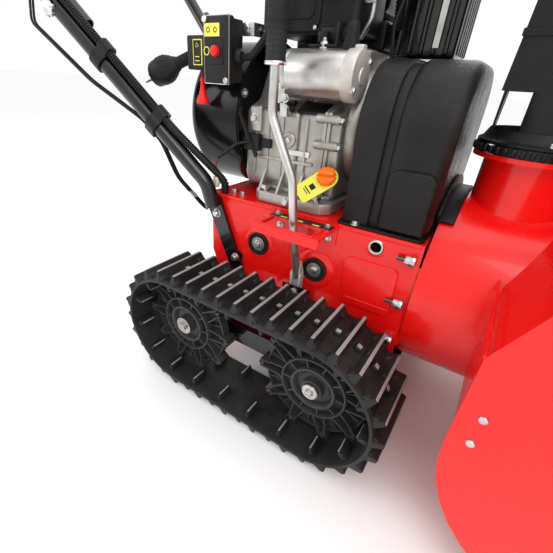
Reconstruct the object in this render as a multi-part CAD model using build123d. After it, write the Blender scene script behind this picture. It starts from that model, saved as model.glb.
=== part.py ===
from build123d import *
import math
import os

# ---------------------------------------------------------------- whole machine
HALF_LENGTH = 835.0          # grips' rear end at -835, intake front edge at +835
HOUSING_HALF_WIDTH = 345.0   # outer face of each intake side plate
SHEET = 3.0                  # folded steel sheet thickness

# ---------------------------------------------------------------- track drive
DRIVE_AXLE_X = 190.0
REAR_AXLE_X = -130.0
AXLE_Z = 150.0
BELT_MID_Y = 240.0           # middle of each track belt
BELT_WIDTH = 136.0
BELT_OUTER_R = 130.0         # outside of the rubber band, without its bars
BELT_INNER_R = 124.0
BAR_TIP_R = 150.0
BAR_COUNT = 38
BAR_BASE = 15.0
BAR_TIP = 9.0
INNER_LUG_COUNT = 19
INNER_LUG_TIP_R = 104.0
INNER_LUG_WIDTH = 32.0
INNER_LUG_INSET = 30.0       # centre of each lug row from the belt edge
WHEEL_RIM_R = 66.5
WHEEL_TIP_R = 121.0
WHEEL_BAND = 32.0
WHEEL_SPOKES = 10
DRIVE_AXLE_R = 12.5
REAR_AXLE_R = 10.0
AXLE_HALF = 262.0

# ---------------------------------------------------------------- chassis
CHASSIS_HALF = 150.0
CHASSIS_TOP = 430.0
CHASSIS_FRONT = 290.0
CHASSIS_REAR = -138.0
HEX_X = 115.0
HEX_Z = 331.0
COUNTER_X = -15.0
COUNTER_Z = 347.0
SEAL_R = 24.0
DISC_X = 186.0               # working face of the friction disc
DISC_R = 92.0
FRICTION_WHEEL_R = 70.6
FRICTION_WHEEL_Y = -40.0

# ---------------------------------------------------------------- intake and blower
AUGER_X = 625.0
AUGER_Z = 275.0
AUGER_R = 205.0
RIBBON_LENGTH = 262.0
RIBBON_PITCH = 290.0
HOUSING_R = 222.0
DRUM_Z = 325.0
DRUM_R = 165.0
DRUM_REAR = 293.0
IMPELLER_R = 155.0
CHUTE_X = 388.0
CHUTE_NECK_R = 72.0
CHUTE_RING_Z = 560.0
CHUTE_HINGE_X = 404.0
CHUTE_HINGE_Z = 930.0

# ---------------------------------------------------------------- engine
CRANK_Z = 567.0
CRANK_R = 12.7
STARTER_Y = -110.0
STARTER_Z = 648.0
STARTER_R = 35.0
CORD_OFFSET = 84.0           # recoil cord, sideways and up from the crankshaft
SWITCH_FRONT_Y = -168.0
BUTTON_X = -109.0
BUTTON_Z = 674.0

# ---------------------------------------------------------------- handle
HANDLE_TUBE_R = 15.0
LOOM_R = 8.0
LOOM_LIFT = 23.4
CABLE_R = 2.6
CABLE_DROP = 18.6
CABLE_SIDE = 3.2
BRACE_X = -560.0
BRACE_Z = 844.0
CLUTCH_PIVOT_X = -690.0
CLUTCH_PIVOT_Z = 925.0
SHIFT_X = -656.0
TURN_KNOB_X = -662.0


# ================================================================ small helpers
def box(x0, x1, y0, y1, z0, z1):
    """Block between two corners."""
    centre = Pos((x0 + x1) / 2, (y0 + y1) / 2, (z0 + z1) / 2)
    return centre * Box(x1 - x0, y1 - y0, z1 - z0)


def disc_x(x0, x1, y, z, r):
    """Round bar along X."""
    return Pos((x0 + x1) / 2, y, z) * Rot(0, 90, 0) * Cylinder(r, x1 - x0)


def disc_y(x, y0, y1, z, r):
    """Round bar along Y."""
    return Pos(x, (y0 + y1) / 2, z) * Rot(90, 0, 0) * Cylinder(r, y1 - y0)


def disc_z(x, y, z0, z1, r):
    """Round bar along Z."""
    return Pos(x, y, (z0 + z1) / 2) * Cylinder(r, z1 - z0)


def face_xz(points, y):
    """Flat face from x,z corners."""
    corners = [(x, y, z) for x, z in points]
    return make_face(Polyline(*corners, close=True).wire())


def plate_xz(points, y0, y1):
    """Plate with an x,z outline, between two y planes."""
    return extrude(face_xz(points, y0), amount=y1 - y0, dir=(0, 1, 0))


def plate_yz(points, x0, x1):
    """Plate with a y,z outline, between two x planes."""
    corners = [(x0, y, z) for y, z in points]
    outline = make_face(Polyline(*corners, close=True).wire())
    return extrude(outline, amount=x1 - x0, dir=(1, 0, 0))


def rod(start, end, r):
    """Straight round bar between two points."""
    path = Line(start, end)
    profile = Plane(origin=start, z_dir=path % 0) * Circle(r)
    return sweep(profile, path=path)


def bent_rod(points, r, bend):
    """Round bar along straight runs joined by arcs."""
    path = FilletPolyline(*points, radius=bend)
    profile = Plane(origin=points[0], z_dir=path % 0) * Circle(r)
    return sweep(profile, path=path)


def bent_tube(points, r, wall, bend):
    """Hollow tube along straight runs joined by arcs."""
    path = FilletPolyline(*points, radius=bend)
    base = Plane(origin=points[0], z_dir=path % 0)
    ring = base * (Circle(r) - Circle(r - wall))
    return sweep(ring, path=path)


def hex_bar_y(x, y0, y1, z, across):
    """Hexagon bar along Y."""
    base = Plane(origin=(x, y0, z), z_dir=(0, 1, 0))
    outline = base * RegularPolygon(across / 2, 6, major_radius=False)
    return extrude(outline, amount=y1 - y0)


def hex_bar_z(x, y, z0, z1, across):
    """Hexagon bar along Z."""
    outline = Plane(origin=(x, y, z0), z_dir=(0, 0, 1)) * RegularPolygon(across / 2, 6, major_radius=False)
    return extrude(outline, amount=z1 - z0)


def mirror_y(shape):
    """The same shape on the other side of the machine."""
    return mirror(shape, about=Plane.XZ)


def both_sides(shape):
    """A pair: the shape and its mirror image, as separate solids."""
    return Compound(children=[*shape.solids(), *mirror_y(shape).solids()])


def group(shapes):
    """Separate solids kept as one group."""
    solids = []
    for shape in shapes:
        solids.extend(shape.solids())
    return Compound(children=solids)


def save(name, shape):
    """Write one sub-part."""
    export_step(shape, "parts/" + name + ".step")


def loop_outline(c1, r1, c2, r2):
    """Four tangent points of an open belt round two circles, as offsets (u, v)."""
    du = c2[0] - c1[0]
    dv = c2[1] - c1[1]
    distance = math.hypot(du, dv)
    heading = math.atan2(dv, du)
    spread = math.acos((r1 - r2) / distance)
    points = []
    for centre, r, side in ((c1, r1, 1), (c2, r2, 1), (c2, r2, -1), (c1, r1, -1)):
        angle = heading + side * spread
        points.append((centre[0] + r * math.cos(angle), centre[1] + r * math.sin(angle)))
    return points


def solid_loop_yz(x0, x1, c1, r1, c2, r2):
    """Filled belt outline in a plane across X."""
    band = plate_yz(loop_outline(c1, r1, c2, r2), x0, x1)
    return band + [disc_x(x0, x1, c1[0], c1[1], r1), disc_x(x0, x1, c2[0], c2[1], r2)]


def solid_loop_xz(y0, y1, c1, r1, c2, r2):
    """Filled belt outline in a plane across Y."""
    band = plate_xz(loop_outline(c1, r1, c2, r2), y0, y1)
    return band + [disc_y(c1[0], y0, y1, c1[1], r1), disc_y(c2[0], y0, y1, c2[1], r2)]


# ================================================================ track drive
def loop_station(distance, radius):
    """Point and outward direction on the track path, measured from the front bottom tangent."""
    straight = DRIVE_AXLE_X - REAR_AXLE_X
    middle = (BELT_OUTER_R + BELT_INNER_R) / 2
    arc = math.pi * middle
    if distance < arc:
        angle = -math.pi / 2 + distance / middle
        return (DRIVE_AXLE_X, AXLE_Z, math.cos(angle), math.sin(angle), radius)
    if distance < arc + straight:
        return (DRIVE_AXLE_X - (distance - arc), AXLE_Z, 0.0, 1.0, radius)
    if distance < 2 * arc + straight:
        angle = math.pi / 2 + (distance - arc - straight) / middle
        return (REAR_AXLE_X, AXLE_Z, math.cos(angle), math.sin(angle), radius)
    return (REAR_AXLE_X + (distance - 2 * arc - straight), AXLE_Z, 0.0, -1.0, radius)


def bar_points(distance, root_r, tip_r, base, tip):
    """Corners of one tread bar standing on the track path."""
    x, z, nx, nz, root = loop_station(distance, root_r)
    points = []
    for radius, half in ((root, -base / 2), (tip_r, -tip / 2), (tip_r, tip / 2), (root, base / 2)):
        points.append((x + nx * radius - nz * half, z + nz * radius + nx * half))
    return points


def track_length():
    """Length of the belt round both wheels at the middle of its thickness."""
    middle = (BELT_OUTER_R + BELT_INNER_R) / 2
    return 2 * (DRIVE_AXLE_X - REAR_AXLE_X) + 2 * math.pi * middle


def make_track_belt():
    """Right-hand rubber belt: band, outer bars and two rows of inner lugs."""
    y0 = -BELT_MID_Y - BELT_WIDTH / 2
    drive = (DRIVE_AXLE_X, AXLE_Z)
    rear = (REAR_AXLE_X, AXLE_Z)
    band = solid_loop_xz(y0, y0 + BELT_WIDTH, drive, BELT_OUTER_R, rear, BELT_OUTER_R)
    band = band - solid_loop_xz(y0 - 1, y0 + BELT_WIDTH + 1, drive, BELT_INNER_R, rear, BELT_INNER_R)
    pitch = track_length() / BAR_COUNT
    bars = []
    for index in range(BAR_COUNT):
        outline = bar_points((index + 0.5) * pitch, BELT_OUTER_R - 2, BAR_TIP_R, BAR_BASE, BAR_TIP)
        bars.append(plate_xz(outline, y0, y0 + BELT_WIDTH))
    lug_pitch = track_length() / INNER_LUG_COUNT
    for index in range(INNER_LUG_COUNT):
        outline = bar_points((index + 0.5) * lug_pitch, BELT_INNER_R + 2, INNER_LUG_TIP_R, 16, 10)
        for inset in (INNER_LUG_INSET, BELT_WIDTH - INNER_LUG_INSET):
            low = y0 + inset - INNER_LUG_WIDTH / 2
            bars.append(plate_xz(outline, low, low + INNER_LUG_WIDTH))
    return band + bars


def make_track_wheel(x, bore):
    """Right-hand spoked wheel: hub, rim ring, radial ribs and paddles."""
    mid = -BELT_MID_Y
    half = WHEEL_BAND / 2
    rim = disc_y(x, mid - half, mid + half, AXLE_Z, WHEEL_RIM_R)
    rim = rim - disc_y(x, mid - half - 1, mid + half + 1, AXLE_Z, WHEEL_RIM_R - 6)
    pieces = [disc_y(x, mid - 3, mid + 3, AXLE_Z, WHEEL_RIM_R - 3)]
    pieces.append(disc_y(x, mid - 17, mid + 17, AXLE_Z, 27))
    for index in range(WHEEL_SPOKES):
        angle = 360.0 / WHEEL_SPOKES * index
        turn = Pos(x, mid, AXLE_Z) * Rot(0, angle, 0)
        pieces.append(turn * box(20, 63, -10, 10, -2.5, 2.5))
        for side in (-1, 1):
            pieces.append(turn * box(62, WHEEL_TIP_R - 6, -half, half, side * 11 - 2, side * 11 + 2))
        pieces.append(turn * box(WHEEL_TIP_R - 8, WHEEL_TIP_R - 1.0, -half, half, -13, 13))
    wheel = rim + pieces
    return wheel - disc_y(x, mid - 30, mid + 30, AXLE_Z, bore)


def make_drive_axle():
    """Front cross shaft with its chain sprocket."""
    shaft = disc_y(DRIVE_AXLE_X, -AXLE_HALF, AXLE_HALF, AXLE_Z, DRIVE_AXLE_R)
    sprocket = disc_y(DRIVE_AXLE_X, 112, 118, AXLE_Z, 52)
    hub = disc_y(DRIVE_AXLE_X, 100, 118, AXLE_Z, 22)
    shaft = shaft + [sprocket, hub]
    for side in (-1, 1):
        end = side * AXLE_HALF
        low = min(end, end - side * 20)
        shaft = shaft - disc_y(DRIVE_AXLE_X, low, low + 20, AXLE_Z, 4.05)
    return shaft


def make_end_bolt(x, washer_r, head):
    """Right-hand wheel bolt with its washer, seated in the shaft end."""
    shank = disc_y(x, -AXLE_HALF - 3, -AXLE_HALF + 16, AXLE_Z, 4)
    washer = disc_y(x, -AXLE_HALF - 3, -AXLE_HALF, AXLE_Z, washer_r)
    bolt_head = hex_bar_y(x, -AXLE_HALF - 10, -AXLE_HALF - 3, AXLE_Z, head)
    return shank + [washer, bolt_head]


def make_rear_axle():
    """Cross shaft that carries both idler wheels."""
    shaft = disc_y(REAR_AXLE_X, -AXLE_HALF, AXLE_HALF, AXLE_Z, REAR_AXLE_R)
    for side in (-1, 1):
        end = side * AXLE_HALF
        low = min(end, end - side * 20)
        shaft = shaft - disc_y(REAR_AXLE_X, low, low + 20, AXLE_Z, 4.05)
        shaft = shaft + disc_y(REAR_AXLE_X, min(side * 214, side * 221), max(side * 214, side * 221), AXLE_Z, 16)
    return shaft


def make_track_frame():
    """Right-hand side beam between the wheels, with the plate that the height lever bolts to."""
    beam = box(REAR_AXLE_X - 26, DRIVE_AXLE_X + 26, -212, -190, AXLE_Z - 22, AXLE_Z + 22)
    beam = fillet(beam.edges().filter_by(Axis.Y), 12)
    spacer = box(62, 116, -192, -164, 138, 166)
    plate = box(58, 118, -166, -161, 138, 290)
    frame = beam + [spacer, plate]
    frame = frame - disc_y(DRIVE_AXLE_X, -220, -180, AXLE_Z, DRIVE_AXLE_R + 0.1)
    frame = frame - disc_y(REAR_AXLE_X, -220, -180, AXLE_Z, REAR_AXLE_R + 0.05)
    frame = frame - disc_y(86, -170, -158, 280, 6.5)
    lever_room = box(57, 119, -162.4, -160, 279, 291)
    return frame - lever_room


# ================================================================ height lever
def make_height_lever():
    """Cranked steel rod with its flattened foot and foot bolt."""
    foot = box(74, 98, -160.8, -155.8, 248, 330)
    foot = foot - disc_y(86, -162, -154, 280, 4.05)
    path = [(86, -163, 318), (84, -195, 425), (72, -191, 498), (24, -190, 590), (24, -190, 700)]
    bar = bent_rod(path, 7.5, 22)
    bolt = disc_y(86, -171, -154, 280, 4)
    bolt = bolt + hex_bar_y(86, -171, -167, 280, 13)
    return group([foot + bar, bolt])


def make_lever_grip():
    """Moulded grip on the top of the height lever."""
    grip = disc_z(24, -190, 660, 800, 15)
    collar = disc_z(24, -190, 656, 660, 17)
    grip = fillet(grip.edges().sort_by(Axis.Z)[-1], 10)
    grip = grip + collar
    return grip - disc_z(24, -190, 650, 700.5, 7.55)


def make_lever_guide():
    """Slotted bracket that the height lever travels in."""
    rim = box(20, 148, -228, -153, 421, 425)
    slot = box(36, 132, -222, -181.5, 410, 430)
    for notch in (52, 84, 116):
        slot = slot + box(notch - 9, notch + 9, -190, -178.5, 410, 430)
    apron = box(20, 148, -153, -150, 392, 425)
    front_lip = box(20, 148, -228, -225, 408, 422)
    return rim - slot + [apron, front_lip]


# ================================================================ chassis
def make_chassis_frame():
    """Folded box: sides, top, rear wall and the inner bulkhead."""
    outer = [(CHASSIS_REAR, CHASSIS_TOP), (CHASSIS_FRONT, CHASSIS_TOP), (CHASSIS_FRONT, 86), (-55, 86)]
    outer.append((CHASSIS_REAR, 300))
    inner = [(CHASSIS_REAR + 3, CHASSIS_TOP - 3), (CHASSIS_FRONT + 9, CHASSIS_TOP - 3)]
    inner.extend([(CHASSIS_FRONT + 9, 60), (-41, 60), (CHASSIS_REAR + 3, 301)])
    shell = plate_xz(outer, -CHASSIS_HALF, CHASSIS_HALF)
    shell = shell - plate_xz(inner, -CHASSIS_HALF + SHEET, CHASSIS_HALF - SHEET)
    bulkhead = box(200, 204, -CHASSIS_HALF + 1, CHASSIS_HALF - 1, 250, CHASSIS_TOP - 1)
    shell = shell + (bulkhead - disc_x(190, 214, 0, HEX_Z, 12.1))
    cuts = []
    cuts.append(box(208, 270, -112, 112, CHASSIS_TOP - 6, CHASSIS_TOP + 3))
    cuts.append(disc_y(HEX_X, -160, 160, HEX_Z, 18))
    cuts.append(disc_y(COUNTER_X, -160, 160, COUNTER_Z, 18))
    cuts.append(disc_y(DRIVE_AXLE_X, -160, 160, AXLE_Z, 22))
    cuts.append(disc_y(218, -160, 160, 408, 9))
    for x, z in ((277, 404), (277, 324), (277, 248), (-66, 304), (-116, 391)):
        cuts.append(disc_y(x, -160, 160, z, 4.05))
    for x in (-20, 90):
        for y in (-128, 128):
            cuts.append(disc_z(x, y, CHASSIS_TOP - 6, CHASSIS_TOP + 3, 5))
    return shell - cuts


def make_bottom_cover():
    """Flat closing plate under the chassis."""
    plate = box(-52, CHASSIS_FRONT, -CHASSIS_HALF, CHASSIS_HALF, 83, 86)
    for x in (0, 240):
        for y in (-120, 120):
            plate = plate - disc_z(x, y, 80, 90, 4)
    return plate


def make_bearing(x, z, r, bore, proud):
    """Right-hand bearing pressed into the chassis side."""
    flange = disc_y(x, -CHASSIS_HALF - proud, -CHASSIS_HALF, z, r)
    spigot_r = 17.9 if r < 26 else 21.9
    spigot = disc_y(x, -CHASSIS_HALF, -CHASSIS_HALF + 10, z, spigot_r)
    return flange + spigot - disc_y(x, -170, -130, z, bore)


def make_bearings():
    """All bearings that show on the chassis sides."""
    right = [make_bearing(HEX_X, HEX_Z, SEAL_R, 10.1, 4.0)]
    right.append(make_bearing(COUNTER_X, COUNTER_Z, SEAL_R, 10.1, 4.0))
    right.append(make_bearing(DRIVE_AXLE_X, AXLE_Z, 30, DRIVE_AXLE_R + 0.1, 4.0))
    bushing = disc_y(218, -CHASSIS_HALF - 3, -CHASSIS_HALF, 408, 13)
    bushing = bushing + disc_y(218, -CHASSIS_HALF, -CHASSIS_HALF + 12, 408, 8.9)
    bushing = bushing - disc_y(218, -170, -130, 408, 5.5)
    right.append(bushing)
    return both_sides(group(right))


def make_hex_shaft():
    """Cross shaft that carries the friction wheel and the small chain sprocket."""
    bar = hex_bar_y(HEX_X, -130, 130, HEX_Z, 18)
    ends = [disc_y(HEX_X, -152, -130, HEX_Z, 10), disc_y(HEX_X, 130, 152, HEX_Z, 10)]
    return bar + ends + disc_y(HEX_X, 95, 101, HEX_Z, 22)


def make_friction_wheel():
    """Rubber-rimmed wheel that slides on the hexagon shaft."""
    y = FRICTION_WHEEL_Y
    wheel = disc_y(HEX_X, y - 6, y + 6, HEX_Z, FRICTION_WHEEL_R)
    wheel = wheel - disc_y(HEX_X, y - 7, y - 3, HEX_Z, 56)
    wheel = wheel - disc_y(HEX_X, y + 3, y + 7, HEX_Z, 56)
    wheel = wheel + disc_y(HEX_X, y - 16, y + 16, HEX_Z, 22)
    return wheel - hex_bar_y(HEX_X, y - 20, y + 20, HEX_Z, 18.2)


def make_countershaft():
    """Reduction shaft with a large and a small sprocket."""
    shaft = disc_y(COUNTER_X, -152, 152, COUNTER_Z, 10)
    large = disc_y(COUNTER_X, 95, 101, COUNTER_Z, 58)
    hub = disc_y(COUNTER_X, 88, 122, COUNTER_Z, 16)
    small = disc_y(COUNTER_X, 112, 118, COUNTER_Z, 22)
    return shaft + [large, hub, small]


def make_chain(y0, c1, r1, c2, r2):
    """Roller chain loop as a band that clears its sprockets."""
    outer = solid_loop_xz(y0, y0 + 8, c1, r1 + 5.5, c2, r2 + 5.5)
    return outer - solid_loop_xz(y0 - 1, y0 + 9, c1, r1 + 0.5, c2, r2 + 0.5)


def make_chains():
    """Both drive chains."""
    counter = (COUNTER_X, COUNTER_Z)
    first = make_chain(94, (HEX_X, HEX_Z), 22, counter, 58)
    second = make_chain(111, counter, 22, (DRIVE_AXLE_X, AXLE_Z), 52)
    return group([first, second])


def make_friction_disc():
    """Driven disc with its stub shaft and belt pulley."""
    disc = disc_x(DISC_X, DISC_X + 8, 0, HEX_Z, DISC_R)
    hub = disc_x(DISC_X + 8, DISC_X + 12, 0, HEX_Z, 30)
    shaft = disc_x(DISC_X + 8, 234, 0, HEX_Z, 12)
    return disc + [hub, shaft] + make_sheave(213, 0, HEX_Z, 62, 70, 18)


def make_sheave(x0, y, z, core_r, flange_r, width):
    """Grooved belt pulley along X."""
    core = disc_x(x0, x0 + width, y, z, core_r)
    rear = disc_x(x0, x0 + 2.5, y, z, flange_r)
    front = disc_x(x0 + width - 2.5, x0 + width, y, z, flange_r)
    return core + [rear, front]


def make_auger_pulley():
    """Large pulley on the blower shaft."""
    pulley = make_sheave(240, 0, DRUM_Z, 92, 100, 20)
    ring = disc_x(239, 247, 0, DRUM_Z, 80) - disc_x(239, 247, 0, DRUM_Z, 30)
    ring = ring + (disc_x(253, 261, 0, DRUM_Z, 80) - disc_x(253, 261, 0, DRUM_Z, 30))
    return pulley - ring - disc_x(230, 270, 0, DRUM_Z, 10.05)


def make_belt_loop(x0, width, z_low, r_low, r_high):
    """Rubber belt between the crankshaft and a lower pulley."""
    outer = solid_loop_yz(x0, x0 + width, (0, z_low), r_low + 8, (0, CRANK_Z), r_high + 8)
    return outer - solid_loop_yz(x0 - 1, x0 + width + 1, (0, z_low), r_low + 0.5, (0, CRANK_Z), r_high + 0.5)


def make_drive_belts():
    """Auger belt and traction belt."""
    return group([make_belt_loop(243.5, 13, DRUM_Z, 92, 52), make_belt_loop(216.5, 11, HEX_Z, 62, 37)])


# ================================================================ intake and blower
def make_impeller_drum():
    """Round fan case with rear wall, mounting flanges and the chute neck."""
    case = disc_x(DRUM_REAR, 500, 0, DRUM_Z, DRUM_R)
    neck = disc_z(CHUTE_X, 0, DRUM_Z, 556, CHUTE_NECK_R)
    collar = disc_z(CHUTE_X, 0, 553, 559.5, 90)
    body = case + [neck, collar]
    hollow = disc_x(DRUM_REAR + 3, 510, 0, DRUM_Z, DRUM_R - 2.5)
    body = body - hollow - disc_z(CHUTE_X, 0, DRUM_Z, 570, CHUTE_NECK_R - 2.5)
    body = body - housing_block(0.0)
    for side in (-1, 1):
        low = min(side * 143.9, side * 146.9)
        body = body + box(264, DRUM_REAR + 1, low, low + 3, 235, 392)
    hub = disc_x(282, DRUM_REAR + 1, 0, DRUM_Z, 30)
    body = body + hub - disc_x(270, 300, 0, DRUM_Z, 10.1)
    for z in (248, 324):
        body = body - disc_y(277, -160, 160, z, 4.05)
    return body


def housing_profile(inset):
    """Outline of the intake trough in x,z, drawn inwards by an inset."""
    r = HOUSING_R - inset
    rear = AUGER_X - r
    lines = []
    lines.append(Line((790, 0, 545 - inset), (482 + inset * 0.5, 0, 545 - inset)))
    lines.append(Line((482 + inset * 0.5, 0, 545 - inset), (rear, 0, 400)))
    lines.append(Line((rear, 0, 400), (rear, 0, AUGER_Z)))
    mid_angle = math.radians(218)
    low_angle = math.radians(256)
    mid = (AUGER_X + r * math.cos(mid_angle), 0, AUGER_Z + r * math.sin(mid_angle))
    low = (AUGER_X + r * math.cos(low_angle), 0, AUGER_Z + r * math.sin(low_angle))
    lines.append(ThreePointArc((rear, 0, AUGER_Z), mid, low))
    lines.append(Line(low, (600, 0, 20)))
    lines.append(Line((600, 0, 20), (790, 0, 20)))
    lines.append(Line((790, 0, 20), (790, 0, 545 - inset)))
    return make_face(Wire(lines))


def housing_block(inset):
    """Filled intake trough, used to shape its sheet and everything that meets it."""
    face = Pos(0, -HOUSING_HALF_WIDTH, 0) * housing_profile(inset)
    return extrude(face, amount=2 * HOUSING_HALF_WIDTH, dir=(0, 1, 0))


def side_plate_points():
    """Corners of one intake side plate in x,z."""
    points = [(HALF_LENGTH, 60), (HALF_LENGTH, 330), (790, 560), (468, 560), (396, 404), (396, AUGER_Z)]
    for step in range(1, 8):
        angle = math.radians(180 + step * 9)
        points.append((AUGER_X + 229 * math.cos(angle), AUGER_Z + 229 * math.sin(angle)))
    points.extend([(552, 14), (812, 14)])
    return points


def make_auger_housing():
    """Intake: curved back, top and two side plates."""
    back = housing_block(0.0) - housing_block(2.5)
    back = back - box(590, 850, -400, 400, 0, 540)
    back = back - box(400, 850, -400, 400, 0, 22)
    side = plate_xz(side_plate_points(), -HOUSING_HALF_WIDTH, -HOUSING_HALF_WIDTH + SHEET)
    body = back + [side, mirror_y(side)]
    body = body - disc_x(380, 500, 0, DRUM_Z, DRUM_R - 2.5)
    body = body - disc_y(AUGER_X, -400, 400, AUGER_Z, 12.1)
    for x in (590, 700):
        body = body - disc_y(x, -400, 400, 60, 4.05)
    return body


def make_scraper_bar():
    """Wear strip along the lower edge of the intake."""
    strip = box(560, 612, -340, 340, 8, 14)
    lip = box(592, 598, -340, 340, 14, 22)
    return strip + lip


def make_skid_shoe():
    """Right-hand skid with its upright plate and turned-up foot."""
    outline = [(520, 30), (556, 0), (726, 0), (762, 30), (758, 34), (724, 6), (558, 6), (524, 34)]
    foot = plate_xz(outline, -HOUSING_HALF_WIDTH - 6, -HOUSING_HALF_WIDTH + 34)
    upright = box(560, 722, -HOUSING_HALF_WIDTH - 5, -HOUSING_HALF_WIDTH, 2, 92)
    shoe = foot + upright
    shoe = shoe - box(500, 780, -HOUSING_HALF_WIDTH, -HOUSING_HALF_WIDTH + SHEET, 13.9, 60)
    for x in (590, 700):
        shoe = shoe - disc_y(x, -HOUSING_HALF_WIDTH - 8, -HOUSING_HALF_WIDTH, 60, 4.05)
    return shoe


def make_auger_shaft():
    """Cross shaft of the two augers."""
    return disc_y(AUGER_X, -354, 354, AUGER_Z, 12)


def ribbon_flight(turn):
    """One helical ribbon of the right-hand auger."""
    half_angle = math.radians(4.5)
    inner = AUGER_R - 44
    corners = []
    for radius, angle in ((inner, -half_angle), (AUGER_R, -half_angle), (AUGER_R, half_angle), (inner, half_angle)):
        corners.append((radius * math.cos(angle), radius * math.sin(angle), 0))
    section = make_face(Polyline(*corners, close=True).wire()).face()
    twist = RIBBON_LENGTH / RIBBON_PITCH * 360
    ribbon = Solid.extrude_linear_with_rotation(section, (0, 0, 0), (0, 0, RIBBON_LENGTH), twist)
    return Pos(AUGER_X, -66, AUGER_Z) * Rot(90, 0, 0) * Rot(0, 0, turn) * ribbon


def make_auger():
    """Right-hand auger: tube, radial arms and two ribbons."""
    tube = disc_y(AUGER_X, -334, -62, AUGER_Z, 20)
    pieces = [ribbon_flight(0), ribbon_flight(180)]
    for distance in (10, 124, 250):
        for half in (0, 180):
            angle = distance / RIBBON_PITCH * 360 + half
            turn = Pos(AUGER_X, -66 - distance, AUGER_Z) * Rot(90, 0, 0) * Rot(0, 0, angle)
            pieces.append(turn * box(0, AUGER_R - 24, -4, 4, -12, 12))
    auger = tube + pieces
    return auger - disc_y(AUGER_X, -400, 0, AUGER_Z, 12.02)


def make_auger_gearbox():
    """Worm gear case between the augers."""
    case = disc_y(AUGER_X, -34, 34, AUGER_Z, 52)
    snout = disc_x(560, 655, 0, DRUM_Z, 26)
    end_caps = disc_y(AUGER_X, -46, 46, AUGER_Z, 26)
    body = case + [snout, end_caps]
    body = body - disc_y(AUGER_X, -60, 60, AUGER_Z, 12.1)
    return body - disc_x(550, 648, 0, DRUM_Z, 10.1)


def make_impeller():
    """Four-bladed throwing fan."""
    hub = disc_x(304, 388, 0, DRUM_Z, 26)
    plate = disc_x(304, 308, 0, DRUM_Z, 70)
    pieces = [plate]
    for index in range(4):
        turn = Pos(0, 0, DRUM_Z) * Rot(45 + 90 * index, 0, 0)
        pieces.append(turn * box(304, 388, 18, IMPELLER_R - 8, -2.5, 2.5))
        tip = Pos(0, IMPELLER_R - 9, 0) * Rot(-30, 0, 0) * box(304, 388, -9, 8, -2.5, 2.5)
        pieces.append(turn * tip)
    fan = hub + pieces
    return fan - disc_x(290, 400, 0, DRUM_Z, 10.05)


def make_impeller_shaft():
    """Shaft from the auger pulley through the fan to the gear case."""
    return disc_x(238, 646, 0, DRUM_Z, 10)


# ================================================================ chute
def make_chute():
    """Turning discharge chute: ring, neck and open-fronted channel."""
    ring = disc_z(CHUTE_X, 0, CHUTE_RING_Z, CHUTE_RING_Z + 12, 90)
    neck = disc_z(CHUTE_X, 0, CHUTE_RING_Z, 660, 76)
    outer = [(312, 640), (318, 760), (348, 860), (396, 938), (478, 912), (462, 820), (464, 640)]
    channel = plate_xz(outer, -68, 68)
    inner = [(315, 560), (321, 760), (351, 859), (400, 950), (540, 920), (540, 672), (460.5, 660)]
    inner.append((460.5, 560))
    body = ring + [neck, channel]
    body = body - disc_z(CHUTE_X, 0, 550, 656, 72.5)
    body = body - plate_xz(inner, -65, 65)
    return body - disc_y(CHUTE_HINGE_X, -80, 80, CHUTE_HINGE_Z - 14, 4.05)


def make_chute_deflector():
    """Tilting cap on the top of the chute."""
    outer = [(372, 912), (396, 966), (452, 1012), (522, 1030), (530, 996), (492, 950), (430, 905), (392, 905)]
    cap = plate_xz(outer, -72, 72)
    inner = [(362, 880), (375.5, 911), (399.5, 964), (453.5, 1008.5), (540, 1030.5), (560, 980), (500, 880)]
    cap = cap - plate_xz(inner, -68.6, 68.6)
    bolt_z = CHUTE_HINGE_Z - 14
    cap = cap - disc_y(CHUTE_HINGE_X, -80, 80, bolt_z, 4.05)
    return cap


def make_deflector_bolt():
    """Right-hand pivot bolt of the deflector."""
    bolt_z = CHUTE_HINGE_Z - 14
    bolt = disc_y(CHUTE_HINGE_X, -76, -60, bolt_z, 3.95)
    head = disc_y(CHUTE_HINGE_X, -79, -72.05, bolt_z, 9)
    return bolt + head


# ================================================================ engine
def make_engine_block():
    """Cast crankcase with feet, leaning cylinder and shaft bore."""
    outline = [(-112, 470), (-100, 456), (118, 456), (118, 690), (-40, 690), (-68, 606), (-112, 588)]
    case = plate_yz(outline, -84, 112)
    base = box(-46, 118, -138, 138, CHASSIS_TOP, 456)
    cylinder = box(-70, 96, 60, 206, 560, 690)
    cover = disc_x(112, 130, 0, CRANK_Z, 98)
    body = case + [base, cylinder, cover]
    body = body - disc_x(-90, 140, 0, CRANK_Z, CRANK_R + 0.1)
    for x in (-20, 90):
        for y in (-128, 128):
            body = body - disc_z(x, y, 420, 470, 5)
    return body - rod((92.6, -78, 453.6), (104, -128, 496), 8.02)


def make_crankshaft():
    """Crankshaft with flywheel and both output pulleys."""
    shaft = disc_x(-196, 276, 0, CRANK_Z, CRANK_R)
    flywheel = disc_x(-178, -148, 0, CRANK_Z, 104)
    traction = make_sheave(213, 0, CRANK_Z, 37, 45, 18)
    auger = make_sheave(240, 0, CRANK_Z, 52, 60, 20)
    return shaft + [flywheel, traction, auger]


def make_fan_housing():
    """Recoil starter cowl round the flywheel."""
    outer = disc_x(-216, -86, 0, CRANK_Z, 134)
    outer = fillet(outer.edges().sort_by(Axis.X)[0], 24)
    hollow = disc_x(-212, -80, 0, CRANK_Z, 130)
    hollow = fillet(hollow.edges().sort_by(Axis.X)[0], 20)
    cowl = outer - hollow
    rear_rim = disc_x(-89, -86, 0, CRANK_Z, 132) - disc_x(-90, -84, 0, CRANK_Z, 40)
    cowl = cowl + rear_rim
    cowl = cowl - disc_x(-230, -190, CORD_OFFSET, CRANK_Z + CORD_OFFSET, 5)
    return cowl - box(-90, -80, -120, 120, 456, 704)


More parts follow.
